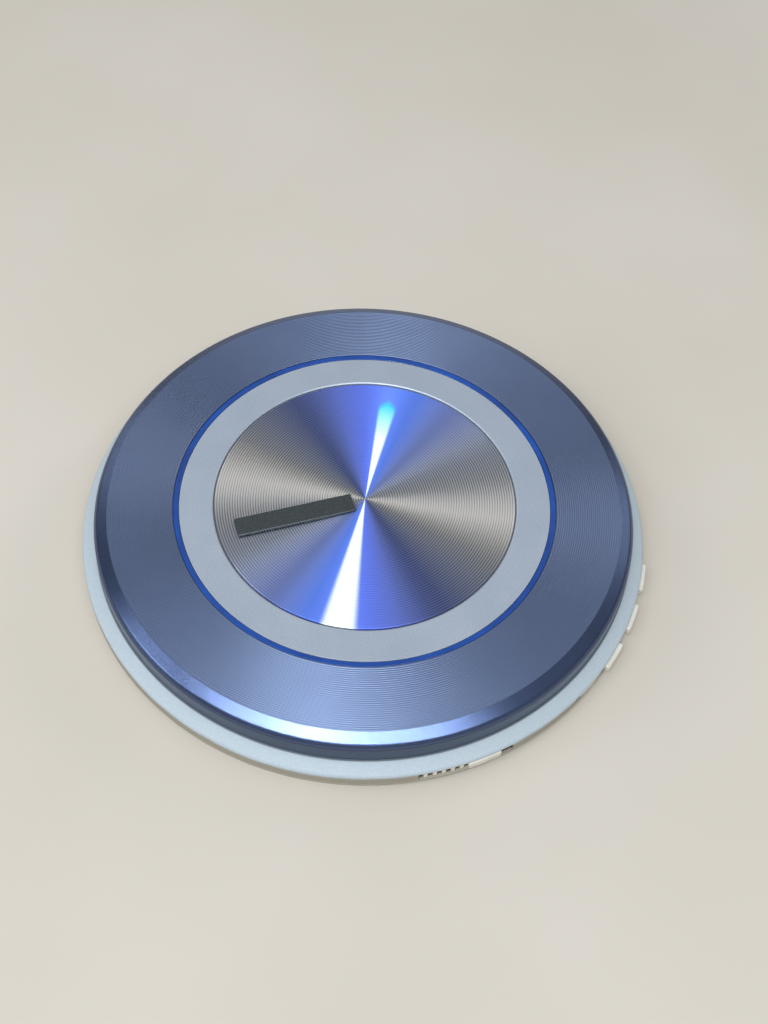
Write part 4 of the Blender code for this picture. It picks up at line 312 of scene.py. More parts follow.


# %% [markdown]
# ## Spun and anodised lid
# The lid is a cup drawn from aluminium sheet, faced on a lathe so that fine rings are left, and
# anodised blue-grey. Anodising is a thin clear oxide with dye in it over bright metal. It could
# be a clear coat over silver; here the colour is the metal's own tint, which keeps the shine
# soft and coloured, as the eye sees it. The rings scatter light across themselves, so the
# highlight is stretched outwards: anisotropy, with its tangent along U of the UV map. Opposite
# sectors of the face are painted lighter, a painted sheen, by the square of the cosine of the
# angle from one direction. The chamfer is painted darker than the face and the skirt darker
# still, as painted shade, and the skirt is less metallic. The real rings and etched grain are
# too fine to show, so they are drawn 0.5 mm and 0.2 mm apart.

# %% Anodised aluminium
RING_PITCH = 0.5 * MM
ETCH_GRAIN = 0.2 * MM
RINGS_END = (59.7 * MM, 59.95 * MM)
CHAMFER_START = (59.8 * MM, 60.0 * MM)
SKIRT_TOP = (13.6 * MM, 14.2 * MM)
# Direction of the painted sheen across the face.
SHEEN_AZIMUTH = np.radians(-20)
SHEEN_DIRECTION = (np.sin(SHEEN_AZIMUTH), -np.cos(SHEEN_AZIMUTH), 0)
lid_blue, tree, shader = finish_of("anodised_spun_aluminium_blue", Metallic=1.0, Anisotropic=0.7)
place = add(tree, "TexCoord").outputs["Object"]
flat_place = add(tree, "VectorMath", {0: place, 1: (1, 1, 0)}, operation="MULTIPLY").outputs[0]
radius = add(tree, "VectorMath", {0: flat_place}, operation="LENGTH").outputs["Value"]
height = add(tree, "SeparateXYZ", {"Vector": place}).outputs["Z"]
phase = add(tree, "Math", {0: radius, 1: 2 * np.pi / RING_PITCH}, operation="MULTIPLY").outputs[0]
rings = add(tree, "Math", {0: phase}, operation="SINE").outputs[0]
fading = {"Value": radius, "From Min": RINGS_END[0], "From Max": RINGS_END[1], "To Min": 1.0, "To Max": 0.0}
on_flat = add(tree, "MapRange", fading)
ring_depth = add(tree, "Math", {0: rings, 1: on_flat.outputs[0]}, operation="MULTIPLY").outputs[0]
speckle = add(tree, "TexNoise", {"Vector": place, "Scale": 1 / ETCH_GRAIN, "Detail": 2.0}).outputs["Fac"]
relief = add(tree, "Math", {0: speckle, 1: 1.1, 2: ring_depth}, operation="MULTIPLY_ADD").outputs[0]
bump = add(tree, "Bump", {"Strength": 1.0, "Distance": 0.028 * MM, "Height": relief})
tree.links.new(bump.outputs["Normal"], shader.inputs["Normal"])
print("rings", RING_PITCH / MM, "mm apart, up to a radius of", RINGS_END[0] / MM, "mm")

# %% Anodised aluminium: colour of face, chamfer and skirt
zone = add(tree, "MapRange", {"Value": radius, "From Min": CHAMFER_START[0], "From Max": CHAMFER_START[1]})
# Painted shade: the chamfer's colour is darker than the face's.
face_and_shaded_chamfer = add(
    tree, "ValToRGB", {"Fac": zone.outputs[0]}, stops=[(0.0, "899cc5"), (1.0, "5d6d92")]
).outputs["Color"]
wall = add(tree, "MapRange", {"Value": height, "From Min": SKIRT_TOP[0], "From Max": SKIRT_TOP[1]})
# Painted sheen: the face is painted lighter along one direction and its opposite, darker across it.
sheen_dot = add(tree, "VectorMath", {0: flat_place, 1: SHEEN_DIRECTION}, operation="DOT_PRODUCT").outputs["Value"]
cosine = add(tree, "Math", {0: sheen_dot, 1: radius}, operation="DIVIDE").outputs[0]
along = add(tree, "Math", {0: cosine, 1: cosine}, operation="MULTIPLY").outputs[0]
bright = add(tree, "MapRange", {"Value": along, "To Min": 0.78, "To Max": 1.16}).outputs[0]
sheened_face = add(tree, "VectorMath", {0: face_and_shaded_chamfer, "Scale": bright}, operation="SCALE").outputs[0]
# Painted shade: the skirt below its top is painted a dark blue-grey.
skirt = add(tree, "Mix", {"Factor": wall.outputs[0], "A": srgb("2b3750"), "B": sheened_face}, data_type="RGBA")
etched = add(tree, "MapRange", {"Value": wall.outputs[0], "To Min": 0.25, "To Max": 1.0}).outputs[0]
tree.links.new(etched, shader.inputs["Metallic"])
print("lid lighter towards", np.round(SHEEN_DIRECTION[:2], 2), "and opposite")

# %% Anodised aluminium: handling marks and gloss
patches = add(tree, "TexNoise", {"Vector": place, "Scale": 1 / (22 * MM), "Detail": 3.0}).outputs["Fac"]
spots = {"Value": patches, "From Min": 0.3, "From Max": 0.7, "To Min": 0.0, "To Max": 0.10}
wash = add(tree, "MapRange", spots)
washed = {"Factor": wash.outputs[0], "A": skirt.outputs["Result"], "B": srgb("ffffff")}
tone = add(tree, "Mix", washed, data_type="RGBA", blend_type="OVERLAY")
tree.links.new(tone.outputs["Result"], shader.inputs["Base Color"])
dull = add(tree, "MapRange", {"Value": patches, "To Min": 0.32, "To Max": 0.40})
polished = add(tree, "Math", {0: zone.outputs[0], 1: -0.15, 2: dull.outputs[0]}, operation="MULTIPLY_ADD")
tree.links.new(polished.outputs[0], shader.inputs["Roughness"])
grain = add(tree, "Tangent", direction_type="UV_MAP", uv_map=GRAIN_MAP)
tree.links.new(grain.outputs[0], shader.inputs["Tangent"])
print(lid_blue.name, len(tree.nodes), "nodes")

# %% [markdown]
# ### Lid panel
# The cup is one turned outline: the flat face, the chamfer, the rounded shoulder and the thin
# skirt, with its inner side too, so that the wall has a real thickness when the lid is up. A
# Solidify modifier could give that wall, but not the different inner corners of a pressing.

# %% Lid panel
# The skirt stops short over the hinge at the back. Four extra columns, two at each side of that
# notch, make its ends upright, and there the lower points are lifted to its top.
NOTCH_HALF = 14.2
NOTCH_TOP = 12.9
SKIRT_MIDDLE = 62.8
SLIVER = 1e-5
edge = np.arcsin(NOTCH_HALF / SKIRT_MIDDLE)
columns = np.linspace(0, 2 * np.pi, 360, endpoint=False)
steps = np.pi / 2 + np.array([-edge - SLIVER, -edge + SLIVER, edge - SLIVER, edge + SLIVER])
columns = np.sort(np.concatenate([columns, steps]))
in_notch = np.abs(columns - np.pi / 2) < edge
lifted = np.where(in_notch, NOTCH_TOP, 0.0) * MM
panel_outline = rounded(
    [
        (44.82, 15.2), (44.82, 16.0), (59.9, 16.0), (62.45, 14.68), (63.2, 13.75), (63.2, 9.2),
        (62.4, 9.2), (62.4, 13.5), (59.6, 15.2),
    ],
    [0.05, 0.06, 0.10, 0.35, 0.45, 0.12, 0.10, 0.3, 0.3],
)
panel = lathe("lid_face_panel", panel_outline, lift=(columns, lifted))
settle(panel, lid_blue, "lid_panel", body="lid")

# %% [markdown]
# ## Accent ring
# A thin ring of clear blue acrylic, moulded and polished, lies in a groove between the face
# and the grey ring. Real transmission could be used, but over a dark groove it only costs time.
# A gloss dielectric with a clear coat gives the eye the same deep, wet-looking blue line.

# %% Blue acrylic
accent_blue, tree, shader = finish_of(
    "clear_blue_acrylic", Roughness=0.16, IOR=1.49, Coat_Weight=0.6, Coat_Roughness=0.05
)
place = add(tree, "TexCoord").outputs["Object"]
streaks = add(tree, "TexNoise", {"Vector": place, "Scale": 1 / (9 * MM), "Detail": 2.0}).outputs["Fac"]
depth_tone = add(
    tree, "ValToRGB", {"Fac": streaks}, stops=[(0.3, "063a86"), (0.7, "0a4ca6")]
).outputs["Color"]
tree.links.new(depth_tone, shader.inputs["Base Color"])
print(accent_blue.name, len(tree.nodes), "nodes")

# %% Accent ring
ring_outline = rounded([(43.5, 14.95), (43.5, 15.77), (44.7, 15.95), (44.7, 14.95)], [0.05, 0.15, 0.15, 0.05])
accent = lathe("accent_ring", ring_outline)
settle(accent, accent_blue, "blue_accent_ring", body="lid")

# %% [markdown]
# ## Grey trim ring
# A moulded ring in silver-grey lacquer, sprayed: metal flake under a satin coat, which gives
# an even, cool grey with a faint sparkle. It could be plain metal, but that would mirror the
# lamps in streaks. Real flake is far finer and is drawn 0.25 mm wide so that it shows. The
# ring's inner edge is bevelled and reads as one light line round the disc.

# %% Silver-grey lacquer
trim_grey, tree, shader = finish_of(
    "silver_grey_lacquer", Metallic=0.35, Coat_Weight=0.25, Coat_Roughness=0.2
)
place = add(tree, "TexCoord").outputs["Object"]
flake = add(tree, "TexNoise", {"Vector": place, "Scale": 1 / (0.25 * MM), "Detail": 2.0}).outputs["Fac"]
cloud = add(tree, "TexNoise", {"Vector": place, "Scale": 1 / (15 * MM), "Detail": 2.0}).outputs["Fac"]
base = add(tree, "ValToRGB", {"Fac": cloud}, stops=[(0.3, "a6b3c3"), (0.7, "b1bdcb")]).outputs["Color"]
spark = add(tree, "ValToRGB", {"Fac": flake}, stops=[(0.35, "8d96a3"), (0.65, "dfe5ec")]).outputs["Color"]
mixed = add(tree, "Mix", {"Factor": 0.22, "A": base, "B": spark}, data_type="RGBA")
tree.links.new(mixed.outputs["Result"], shader.inputs["Base Color"])
satin = add(tree, "MapRange", {"Value": flake, "To Min": 0.34, "To Max": 0.46})
tree.links.new(satin.outputs[0], shader.inputs["Roughness"])
bump = add(tree, "Bump", {"Strength": 0.3, "Distance": 0.004 * MM, "Height": flake})
tree.links.new(bump.outputs["Normal"], shader.inputs["Normal"])
print(trim_grey.name, len(tree.nodes), "nodes")

# %% Trim ring
trim_outline = rounded(
    [(35.55, 14.95), (35.55, 15.52), (35.85, 15.77), (43.38, 15.77), (43.38, 14.95)],
    [0.05, 0.1, 0.12, 0.1, 0.05],
)
trim = lathe("trim_ring_face", trim_outline)
settle(trim, trim_grey, "trim_ring", body="lid")

# %% [markdown]
# ## Spun centre disc
# The middle is a thin aluminium disc turned with a coarser tool, so its rings can be counted.
# Under a lamp such a disc shows a bright fan across its middle: every ring mirrors the lamp only
# where it faces it. Anisotropy and the lamp make its sheen, and the fan is painted into its colour
# as well, a painted highlight. The colours round it are painted reflection: deep blue along the
# fan and nearly white across it. They are painted as a function of the angle from the fan, the
# arctangent of x / y with y along it. A ramp over half a turn gives both halves the same tint,
# because a point and its opposite have the same x / y. The groove lines are painted darker, a
# painted shade, more in some sectors than in others. The rings are drawn 0.6 mm apart so that
# they show.

# %% Spun aluminium: angle from the fan, and painted reflection
GROOVE_PITCH = 0.6 * MM
FAN_AZIMUTH = -25.6
spun, tree, shader = finish_of("spun_aluminium_painted_reflection", Metallic=1.0, Anisotropic=1.0)
place = add(tree, "TexCoord").outputs["Object"]
along_fan = (0, 0, np.radians(-FAN_AZIMUTH))
aligned = add(tree, "Mapping", {"Vector": place, "Rotation": along_fan, "Scale": (1, 1, 0)})
split = add(tree, "SeparateXYZ", {"Vector": aligned.outputs[0]})
slope = add(tree, "Math", {0: split.outputs["X"], 1: split.outputs["Y"]}, operation="DIVIDE").outputs[0]
angle = add(tree, "Math", {0: slope}, operation="ARCTANGENT").outputs[0]
half_turn = add(tree, "MapRange", {"Value": angle, "From Min": np.pi / 2, "From Max": -np.pi / 2}).outputs[0]
# Painted reflection: blue along the fan, nearly white across it.
painted_reflection = add(
    tree, "ValToRGB", {"Fac": half_turn},
    stops=[
        (0.0, "fdfbf8"), (0.12, "f6f8fd"), (0.23, "dfe8ff"), (0.33, "aabcff"), (0.43, "6c93fd"),
        (0.56, "7089f8"), (0.65, "7a8cdc"), (0.73, "8f9fe0"), (0.82, "ccd5ee"), (0.91, "f6f5f3"),
        (1.0, "fdfbf8"),
    ],
).outputs["Color"]
print("fan at", FAN_AZIMUTH, "degrees from the front")

# %% Spun aluminium: the painted highlight fan
# The fan is a painted highlight. Its front half is wider. Its rear half leans a little aside, and
# ends before the rim in a painted blue-green glint. The lean and the widths are in degrees, and the
# core is a share of the width.
FAN_LEAN, FAN_HALF_WIDTH, FRONT_EXTRA, FAN_CORE = 1.4, 5.2, 2.4, 0.6
FAN_END = (31.5 * MM, 28.5 * MM)
END_BOW = 25 * MM
GLINT_REACH = (18 * MM, 29 * MM)
halves = {"Value": split.outputs["Y"], "From Min": 1 * MM, "From Max": -1 * MM}
front = add(tree, "MapRange", halves).outputs[0]
radius = add(tree, "VectorMath", {0: aligned.outputs[0]}, operation="LENGTH").outputs["Value"]
lean = np.radians(FAN_LEAN)
shift = add(tree, "Math", {0: front, 1: lean, 2: -lean}, operation="MULTIPLY_ADD").outputs[0]
aside = add(tree, "Math", {0: angle, 1: shift}, operation="ADD").outputs[0]
off = add(tree, "Math", {0: aside}, operation="ABSOLUTE").outputs[0]
widths = {0: front, 1: np.radians(FRONT_EXTRA), 2: np.radians(FAN_HALF_WIDTH)}
wide = add(tree, "Math", widths, operation="MULTIPLY_ADD").outputs[0]
core = add(tree, "Math", {0: wide, 1: FAN_CORE}, operation="MULTIPLY").outputs[0]
sides = {"Value": off, "From Min": wide, "From Max": core}
beam = add(tree, "MapRange", sides, interpolation_type="SMOOTHSTEP").outputs[0]
reach = add(tree, "Math", {0: off, 1: END_BOW, 2: radius}, operation="MULTIPLY_ADD").outputs[0]
ends = {"Value": reach, "From Min": FAN_END[0], "From Max": FAN_END[1]}
end = add(tree, "MapRange", ends, interpolation_type="SMOOTHSTEP").outputs[0]
kept = add(tree, "Math", {0: front, 1: end}, operation="MAXIMUM").outputs[0]
fan = add(tree, "Math", {0: beam, 1: kept}, operation="MULTIPLY").outputs[0]
glint_span = {"Value": radius, "From Min": GLINT_REACH[0], "From Max": GLINT_REACH[1]}
outer = add(tree, "MapRange", glint_span).outputs[0]
# Painted glint: the rear half of the fan turns blue-green towards its end.
rear_painted_glint = add(
    tree, "ValToRGB", {"Fac": outer}, stops=[(0.0, "f2fdff"), (0.6, "a8f0ff"), (1.0, "46d8ff")]
).outputs["Color"]
painted_glint = add(tree, "Mix", {"Factor": front, "A": rear_painted_glint, "B": srgb("f2fdff")}, data_type="RGBA")
highlighted = {"Factor": fan, "A": painted_reflection, "B": painted_glint.outputs["Result"]}
reflection_and_highlight = add(tree, "Mix", highlighted, data_type="RGBA").outputs["Result"]
print("fan", 2 * (FAN_HALF_WIDTH + FRONT_EXTRA), "degrees wide at the front")

# %% Spun aluminium: grooves
phase = add(tree, "Math", {0: radius, 1: 2 * np.pi / GROOVE_PITCH}, operation="MULTIPLY").outputs[0]
groove = add(tree, "Math", {0: phase}, operation="SINE").outputs[0]
# Painted shade: the colour darkens in each groove, more deeply in some sectors round the fan.
groove_shade = add(
    tree, "ValToRGB", {"Fac": half_turn},
    stops=[
        (0.0, "dcdcdc"), (0.12, "9f9f9f"), (0.28, "c0c0c0"), (0.38, "efefef"), (0.62, "efefef"),
        (0.72, "b8b8b8"), (0.88, "9a9a9a"), (1.0, "dcdcdc"),
    ],
).outputs["Color"]
depth = add(tree, "MapRange", {"Value": groove, "From Min": 1.0, "From Max": -1.0}).outputs[0]
cut_depth = add(tree, "Math", {0: depth, 1: depth}, operation="MULTIPLY").outputs[0]
shade_line = add(tree, "MapRange", {"Value": cut_depth, "To Min": 1.0, "To Max": groove_shade}).outputs[0]
lined = add(tree, "VectorMath", {0: reflection_and_highlight, "Scale": shade_line}, operation="SCALE").outputs[0]
tree.links.new(lined, shader.inputs["Base Color"])
shader.inputs["Roughness"].default_value = 0.44
bump = add(tree, "Bump", {"Strength": 1.0, "Distance": 0.01 * MM, "Height": groove})
tree.links.new(bump.outputs["Normal"], shader.inputs["Normal"])
grain = add(tree, "Tangent", direction_type="UV_MAP", uv_map=GRAIN_MAP)
tree.links.new(grain.outputs[0], shader.inputs["Tangent"])
print(spun.name, len(tree.nodes), "nodes")

# %% Centre disc
DISC_TOP = 15.57
disc_rings = np.linspace(0.0, 34.6, 24)[1:]
disc_outline = np.concatenate(
    [
        [(0.0, DISC_TOP)],
        np.stack([disc_rings, np.full(len(disc_rings), DISC_TOP)], -1),
        [(34.9, DISC_TOP), (35.08, 15.53), (35.2, 15.42), (35.2, 15.0), (35.15, 14.95), (0.0, 14.95)],
    ]
) * MM
centre = lathe("centre_disc", disc_outline)
settle(centre, spun, "centre_plate", body="lid")

# %% [markdown]
# ## Badge bar
# A small cast bar sits left of the middle: dark zinc with a satin skin, so it shows a soft grey
# glint and a fine cast grain. A cube with a Bevel modifier would do. Points pushed out from a
# smaller box give the same rounded edges and keep the place in the mesh.

# %% Cast zinc
badge_dark, tree, shader = finish_of("dark_satin_cast_zinc", Metallic=0.8, Roughness=0.36)
place = add(tree, "TexCoord").outputs["Object"]
cast = add(tree, "TexNoise", {"Vector": place, "Scale": 1 / (0.3 * MM), "Detail": 3.0}).outputs["Fac"]
zinc = add(tree, "ValToRGB", {"Fac": cast}, stops=[(0.3, "4c5355"), (0.7, "656d6e")]).outputs["Color"]
tree.links.new(zinc, shader.inputs["Base Color"])
bump = add(tree, "Bump", {"Strength": 0.5, "Distance": 0.008 * MM, "Height": cast})
tree.links.new(bump.outputs["Normal"], shader.inputs["Normal"])
print(badge_dark.name, len(tree.nodes), "nodes")


# %% Points of a rounded box
def rounded_box(low, high, radius, steps=3):
    """Points of a cube pushed out: the nearest point of a smaller box, plus the radius along the
    way to the cube. Returns its points and faces, in metres."""
    low, high, r = np.asarray(low) * MM, np.asarray(high) * MM, radius * MM
    share = np.linspace(0, 1, steps + 1)
    points, faces, start = [], [], 0
    for axis in range(3):
        u, v = (axis + 1) % 3, (axis + 2) % 3
        grids = []
        for k in (u, v):
            middle = np.linspace(low[k] + r, high[k] - r, 12)
            grids.append(np.concatenate([low[k] + r * share[:-1], middle, high[k] - r * share[-2::-1]]))
        a, b = np.meshgrid(*grids, indexing="ij")
        for end in (low[axis], high[axis]):
            q = np.empty((*a.shape, 3))
            q[..., u], q[..., v], q[..., axis] = a, b, end
            inner = np.clip(q, low + r, high - r)
            way = q - inner
            points.append((inner + r * way / np.linalg.norm(way, axis=-1, keepdims=True)).reshape(-1, 3))
            cells = grid_faces(*a.shape, False, False)
            faces.append((cells if end == high[axis] else cells[:, ::-1]) + start)
            start += a.size
    return np.concatenate(points), np.concatenate(faces)


print("a rounded box has", len(rounded_box((0, 0, 0), (1, 1, 1), 0.1)[0]), "points")


# %% Badge bar
low, high = (np.array(corner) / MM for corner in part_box("badge_bar"))
badge = mesh_object("badge_bar_face", *rounded_box(low, high, 0.3))
settle(badge, badge_dark, "badge_bar", body="lid")

# %% [markdown]
# ## Painted case
# The case is moulded in ABS. The upper half wears a pearl silver-blue paint, which is metal
# flake under clear lacquer, and years of pockets have dulled it with faint scuffs. Its wall
# below the shoulder is painted a darker warm grey, a painted shade. Image textures could hold the
# wear, but noise needs no UV map and can follow heights and radii in real millimetres. The lower
# half is greige ABS, darkened as painted shade, the keys and sliders are cream, and inside their
# skin all of them are painted dark, a painted shade.

# %% Pearl paint
# Real flake is about 0.03 mm wide, and is drawn 0.3 mm wide so that it shows.
MASK_EDGE = (62.05 * MM, 62.15 * MM)
GAP_SHADE_EDGE = (63.6 * MM, 63.35 * MM)
POCKET_SKIN = (66.35 * MM, 66.15 * MM)
POCKET_TOP = (7.75 * MM, 7.6 * MM)
pearl, tree, shader = finish_of("pearl_silver_blue_paint", Coat_Weight=0.05, Coat_Roughness=0.3)
place = add(tree, "TexCoord").outputs["Object"]
height = add(tree, "SeparateXYZ", {"Vector": place}).outputs["Z"]
flat_place = add(tree, "VectorMath", {0: place, 1: (1, 1, 0)}, operation="MULTIPLY").outputs[0]
radius = add(tree, "VectorMath", {0: flat_place}, operation="LENGTH").outputs["Value"]
flake = add(tree, "TexNoise", {"Vector": place, "Scale": 1 / (0.3 * MM), "Detail": 2.0}).outputs["Fac"]
blotches = add(tree, "TexNoise", {"Vector": place, "Scale": 1 / (7 * MM), "Detail": 5.0}).outputs["Fac"]
paint = add(tree, "ValToRGB", {"Fac": flake}, stops=[(0.3, "afbec7"), (0.7, "bdcad1")]).outputs["Color"]
# Painted shade: lower than about 7.2 to 7.9 mm the paint turns a darker warm grey, with a ragged edge.
ragged = add(tree, "Math", {0: blotches, 1: 0.8 * MM, 2: height}, operation="MULTIPLY_ADD").outputs[0]
low_on_wall = add(tree, "MapRange", {"Value": ragged, "From Min": 7.9 * MM, "From Max": 7.2 * MM}).outputs[0]
shaded_low = add(tree, "Mix", {"Factor": low_on_wall, "A": paint, "B": srgb("9d978a")}, data_type="RGBA")
print("flake and wear on", pearl.name)

# %% Pearl paint: masked deck, lid gap and pockets
# The deck under the lid was masked when the case was sprayed, so it shows the bare grey ABS.
# The gap beside the lid is painted dark, a painted shade, and the pockets behind the keys are painted dark as
# painted shadow.
mask = {"Value": radius, "From Min": MASK_EDGE[0], "From Max": MASK_EDGE[1]}
sprayed = add(tree, "MapRange", mask).outputs[0]
bare = add(tree, "ValToRGB", {"Fac": flake}, stops=[(0.3, "6a7078"), (0.7, "757b83")]).outputs["Color"]
# Painted shade: a dark band in the gap beside the lid.
beside = {"Value": radius, "From Min": GAP_SHADE_EDGE[0], "From Max": GAP_SHADE_EDGE[1], "To Max": 0.85}
gap_shade = add(tree, "MapRange", beside).outputs[0]
gap_shaded = add(tree, "Mix", {"Factor": gap_shade, "A": shaded_low.outputs["Result"], "B": srgb("4b535c")}, data_type="RGBA")
coloured = add(tree, "Mix", {"Factor": sprayed, "A": bare, "B": gap_shaded.outputs["Result"]}, data_type="RGBA")
# Painted shadow: the pockets behind the keys and sliders are painted near black.
inner = {"Value": radius, "From Min": POCKET_SKIN[0], "From Max": POCKET_SKIN[1]}
shaded_inside = add(tree, "MapRange", inner).outputs[0]
lower = {"Value": height, "From Min": POCKET_TOP[0], "From Max": POCKET_TOP[1]}
under = add(tree, "MapRange", lower).outputs[0]
pocket = add(tree, "Math", {0: shaded_inside, 1: under}, operation="MULTIPLY").outputs[0]
shadowed = {"Factor": pocket, "A": coloured.outputs["Result"], "B": srgb("35332f")}
deep = add(tree, "Mix", shadowed, data_type="RGBA")
tree.links.new(deep.outputs["Result"], shader.inputs["Base Color"])
print(pearl.name, len(tree.nodes), "nodes")

# %% Pearl paint: gloss
flakes = add(tree, "Math", {0: sprayed, 1: 0.08}, operation="MULTIPLY").outputs[0]
tree.links.new(flakes, shader.inputs["Metallic"])
worn = add(tree, "MapRange", {"Value": blotches, "To Min": 0.54, "To Max": 0.68})
tree.links.new(worn.outputs[0], shader.inputs["Roughness"])
bump = add(tree, "Bump", {"Strength": 0.4, "Distance": 0.004 * MM, "Height": flake})
tree.links.new(bump.outputs["Normal"], shader.inputs["Normal"])

# %% Cream and greige ABS
CORNER_RADIUS = 4.4
CORNER_MIDDLE = (62.3, 4.9)


def moulded_abs(name, tones, skin, inside_shade):
    """Moulded ABS with worn patches: a soft satin, glossier where fingers rub it. Deeper than the
    skin it is painted a dark inside tone, a painted shade. The depth is the case's corner radius
    less the distance from the middle of that corner's arc."""
    material, tree, shader = finish_of(name, IOR=1.52)
    place = add(tree, "TexCoord").outputs["Object"]
    spark = add(tree, "TexNoise", {"Vector": place, "Scale": 1 / (0.12 * MM), "Detail": 2.0}).outputs["Fac"]
    blotches = add(tree, "TexNoise", {"Vector": place, "Scale": 1 / (5 * MM), "Detail": 5.0}).outputs["Fac"]
    outside = add(
        tree, "ValToRGB", {"Fac": blotches}, stops=list(zip((0.30, 0.5, 0.75), tones))
    ).outputs["Color"]
    flat_place = add(tree, "VectorMath", {0: place, 1: (1, 1, 0)}, operation="MULTIPLY").outputs[0]
    radius = add(tree, "VectorMath", {0: flat_place}, operation="LENGTH").outputs["Value"]
    height = add(tree, "SeparateXYZ", {"Vector": place}).outputs["Z"]
    out = add(tree, "Math", {0: radius, 1: CORNER_MIDDLE[0] * MM}, operation="SUBTRACT").outputs[0]
    down = add(tree, "Math", {0: CORNER_MIDDLE[1] * MM, 1: height}, operation="SUBTRACT").outputs[0]
    offsets = add(tree, "CombineXYZ", {"X": out, "Y": down}).outputs[0]
    corner = add(tree, "VectorMath", {0: offsets, 1: (0, 0, 0)}, operation="MAXIMUM").outputs[0]
    distance = add(tree, "VectorMath", {0: corner}, operation="LENGTH").outputs["Value"]
    edge = CORNER_RADIUS - skin
    # Painted shade: deeper than the skin the colour turns to the dark inside tone.
    shaded_inside = add(tree, "MapRange", {"Value": distance, "From Min": edge * MM, "From Max": (edge - 0.1) * MM})
    layers = {"Factor": shaded_inside.outputs[0], "A": outside, "B": srgb(inside_shade)}
    tone = add(tree, "Mix", layers, data_type="RGBA")
    tree.links.new(tone.outputs["Result"], shader.inputs["Base Color"])
    worn = add(tree, "MapRange", {"Value": blotches, "To Min": 0.52, "To Max": 0.38})
    tree.links.new(worn.outputs[0], shader.inputs["Roughness"])
    bump = add(tree, "Bump", {"Strength": 0.5, "Distance": 0.006 * MM, "Height": spark})
    tree.links.new(bump.outputs["Normal"], shader.inputs["Normal"])
    return material


# The last colour of each is the painted shade inside the skin.
key_cream = moulded_abs("moulded_cream_abs", ("d6d3c6", "dedbd0", "e4e1d7"), 1.0, "2e2c29")
# Painted shade: the greige tones are darker than the lower case's own pale tone.
shell_greige_shaded = moulded_abs("moulded_greige_abs_painted_shade", ("a09b8d", "a7a294", "aea99d"), 0.6, "45474a")
print(key_cream.name, "and", shell_greige_shaded.name)

# %% [markdown]
# ### Mouldings copied from the CAD
# The case halves, the lid's inner frame and the turntable have notches, bosses and slots that
# the CAD already has right. Its curves have 60 or 36 flat sides, though, which metal and gloss
# would show. Drawing each notch again would invite errors. So a copy is merged, cut finer, and
# each point is moved out from its flat side to the true circle. The flats are at known angles,
# so one formula does it for the whole piece.


# %% Rounded copies
MERGE = 2e-6
FLAT_ANGLE = np.radians(0.4)
MAX_CUTS = 5


def rounded_copy(node, name, sides=60, cell=2.5, sharp=28):
    """A merged copy of a CAD node with its polygon made a circle. In the sector of each flat side a
    point's radius grows by cos(angle from the side's middle) / cos(half a side)."""
    mesh = nodes[node].data.copy()
    mesh.name = name
    shape = bmesh.new()
    shape.from_mesh(mesh)
    bmesh.ops.remove_doubles(shape, verts=shape.verts, dist=MERGE)
    bmesh.ops.dissolve_limit(shape, angle_limit=FLAT_ANGLE, verts=shape.verts, edges=shape.edges)
    bmesh.ops.triangulate(shape, faces=shape.faces)
    for _ in range(MAX_CUTS):
        long = [e for e in shape.edges if e.calc_length() > cell * MM]
        if not long or not sides:
            break
        bmesh.ops.subdivide_edges(shape, edges=long, cuts=1)
        bmesh.ops.triangulate(shape, faces=[f for f in shape.faces if len(f.verts) > 3])
    shape.to_mesh(mesh)
    shape.free()
    if sides:
        points = np.empty(len(mesh.vertices) * 3)
        mesh.vertices.foreach_get("co", points)
        points = points.reshape(-1, 3)
        half = np.pi / sides
        off = np.mod(np.arctan2(points[:, 1], points[:, 0]), 2 * half) - half
        points[:, :2] *= (np.cos(off) / np.cos(half))[:, None]
        mesh.vertices.foreach_set("co", points.ravel())
    mesh.shade_smooth()
    mesh.set_sharp_from_angle(angle=np.radians(sharp))
    obj = bpy.data.objects.new(name, mesh)
    bpy.context.scene.collection.objects.link(obj)
    return obj


# %% Case halves
upper = rounded_copy("upper_cabinet", "upper_case")
settle(upper, pearl, "upper_cabinet", body="base")
lower = rounded_copy("bottom_shell", "lower_case")
settle(lower, shell_greige_shaded, "bottom_shell", body="base")

# %% [markdown]
# ## Keys and sliders
# Three keys stand 0.9 mm out of the right side, and follow its curve. The open slider at the
# front has a ribbed grip and a smooth tab, with a bar and a catch behind the wall. The hold
# switch sits flush. A key could be bent by a Curve modifier. It is drawn flat from rounded
# boxes and bent by a formula, so that its three parts stay one exact piece.


# %% Bending round the rim
RIM_REACH = 65.0 * MM


def round_the_rim(points, azimuth):
    """Bends a shape drawn at the front (x along the rim, -y outwards) round the player's axis to
    its azimuth: the arc length x becomes an angle x / R, and -y the radius."""
    angle = np.radians(azimuth) + points[:, 0] / RIM_REACH
    return np.stack([-points[:, 1] * np.sin(angle), points[:, 1] * np.cos(angle), points[:, 2]], axis=-1)


def boxes_on_rim(name, boxes, azimuth):
    """One piece from several (low, high, radius) rounded boxes, each a closed shell, on the rim."""
    shapes = [rounded_box(*box) for box in boxes]
    starts = np.cumsum([0] + [len(p) for p, f in shapes[:-1]])
    points = np.concatenate([p for p, f in shapes])
    faces = np.concatenate([f + s for (p, f), s in zip(shapes, starts)])
    return mesh_object(name, round_the_rim(points, azimuth), faces)


print("shapes keep their length at a radius of", RIM_REACH / MM, "mm")


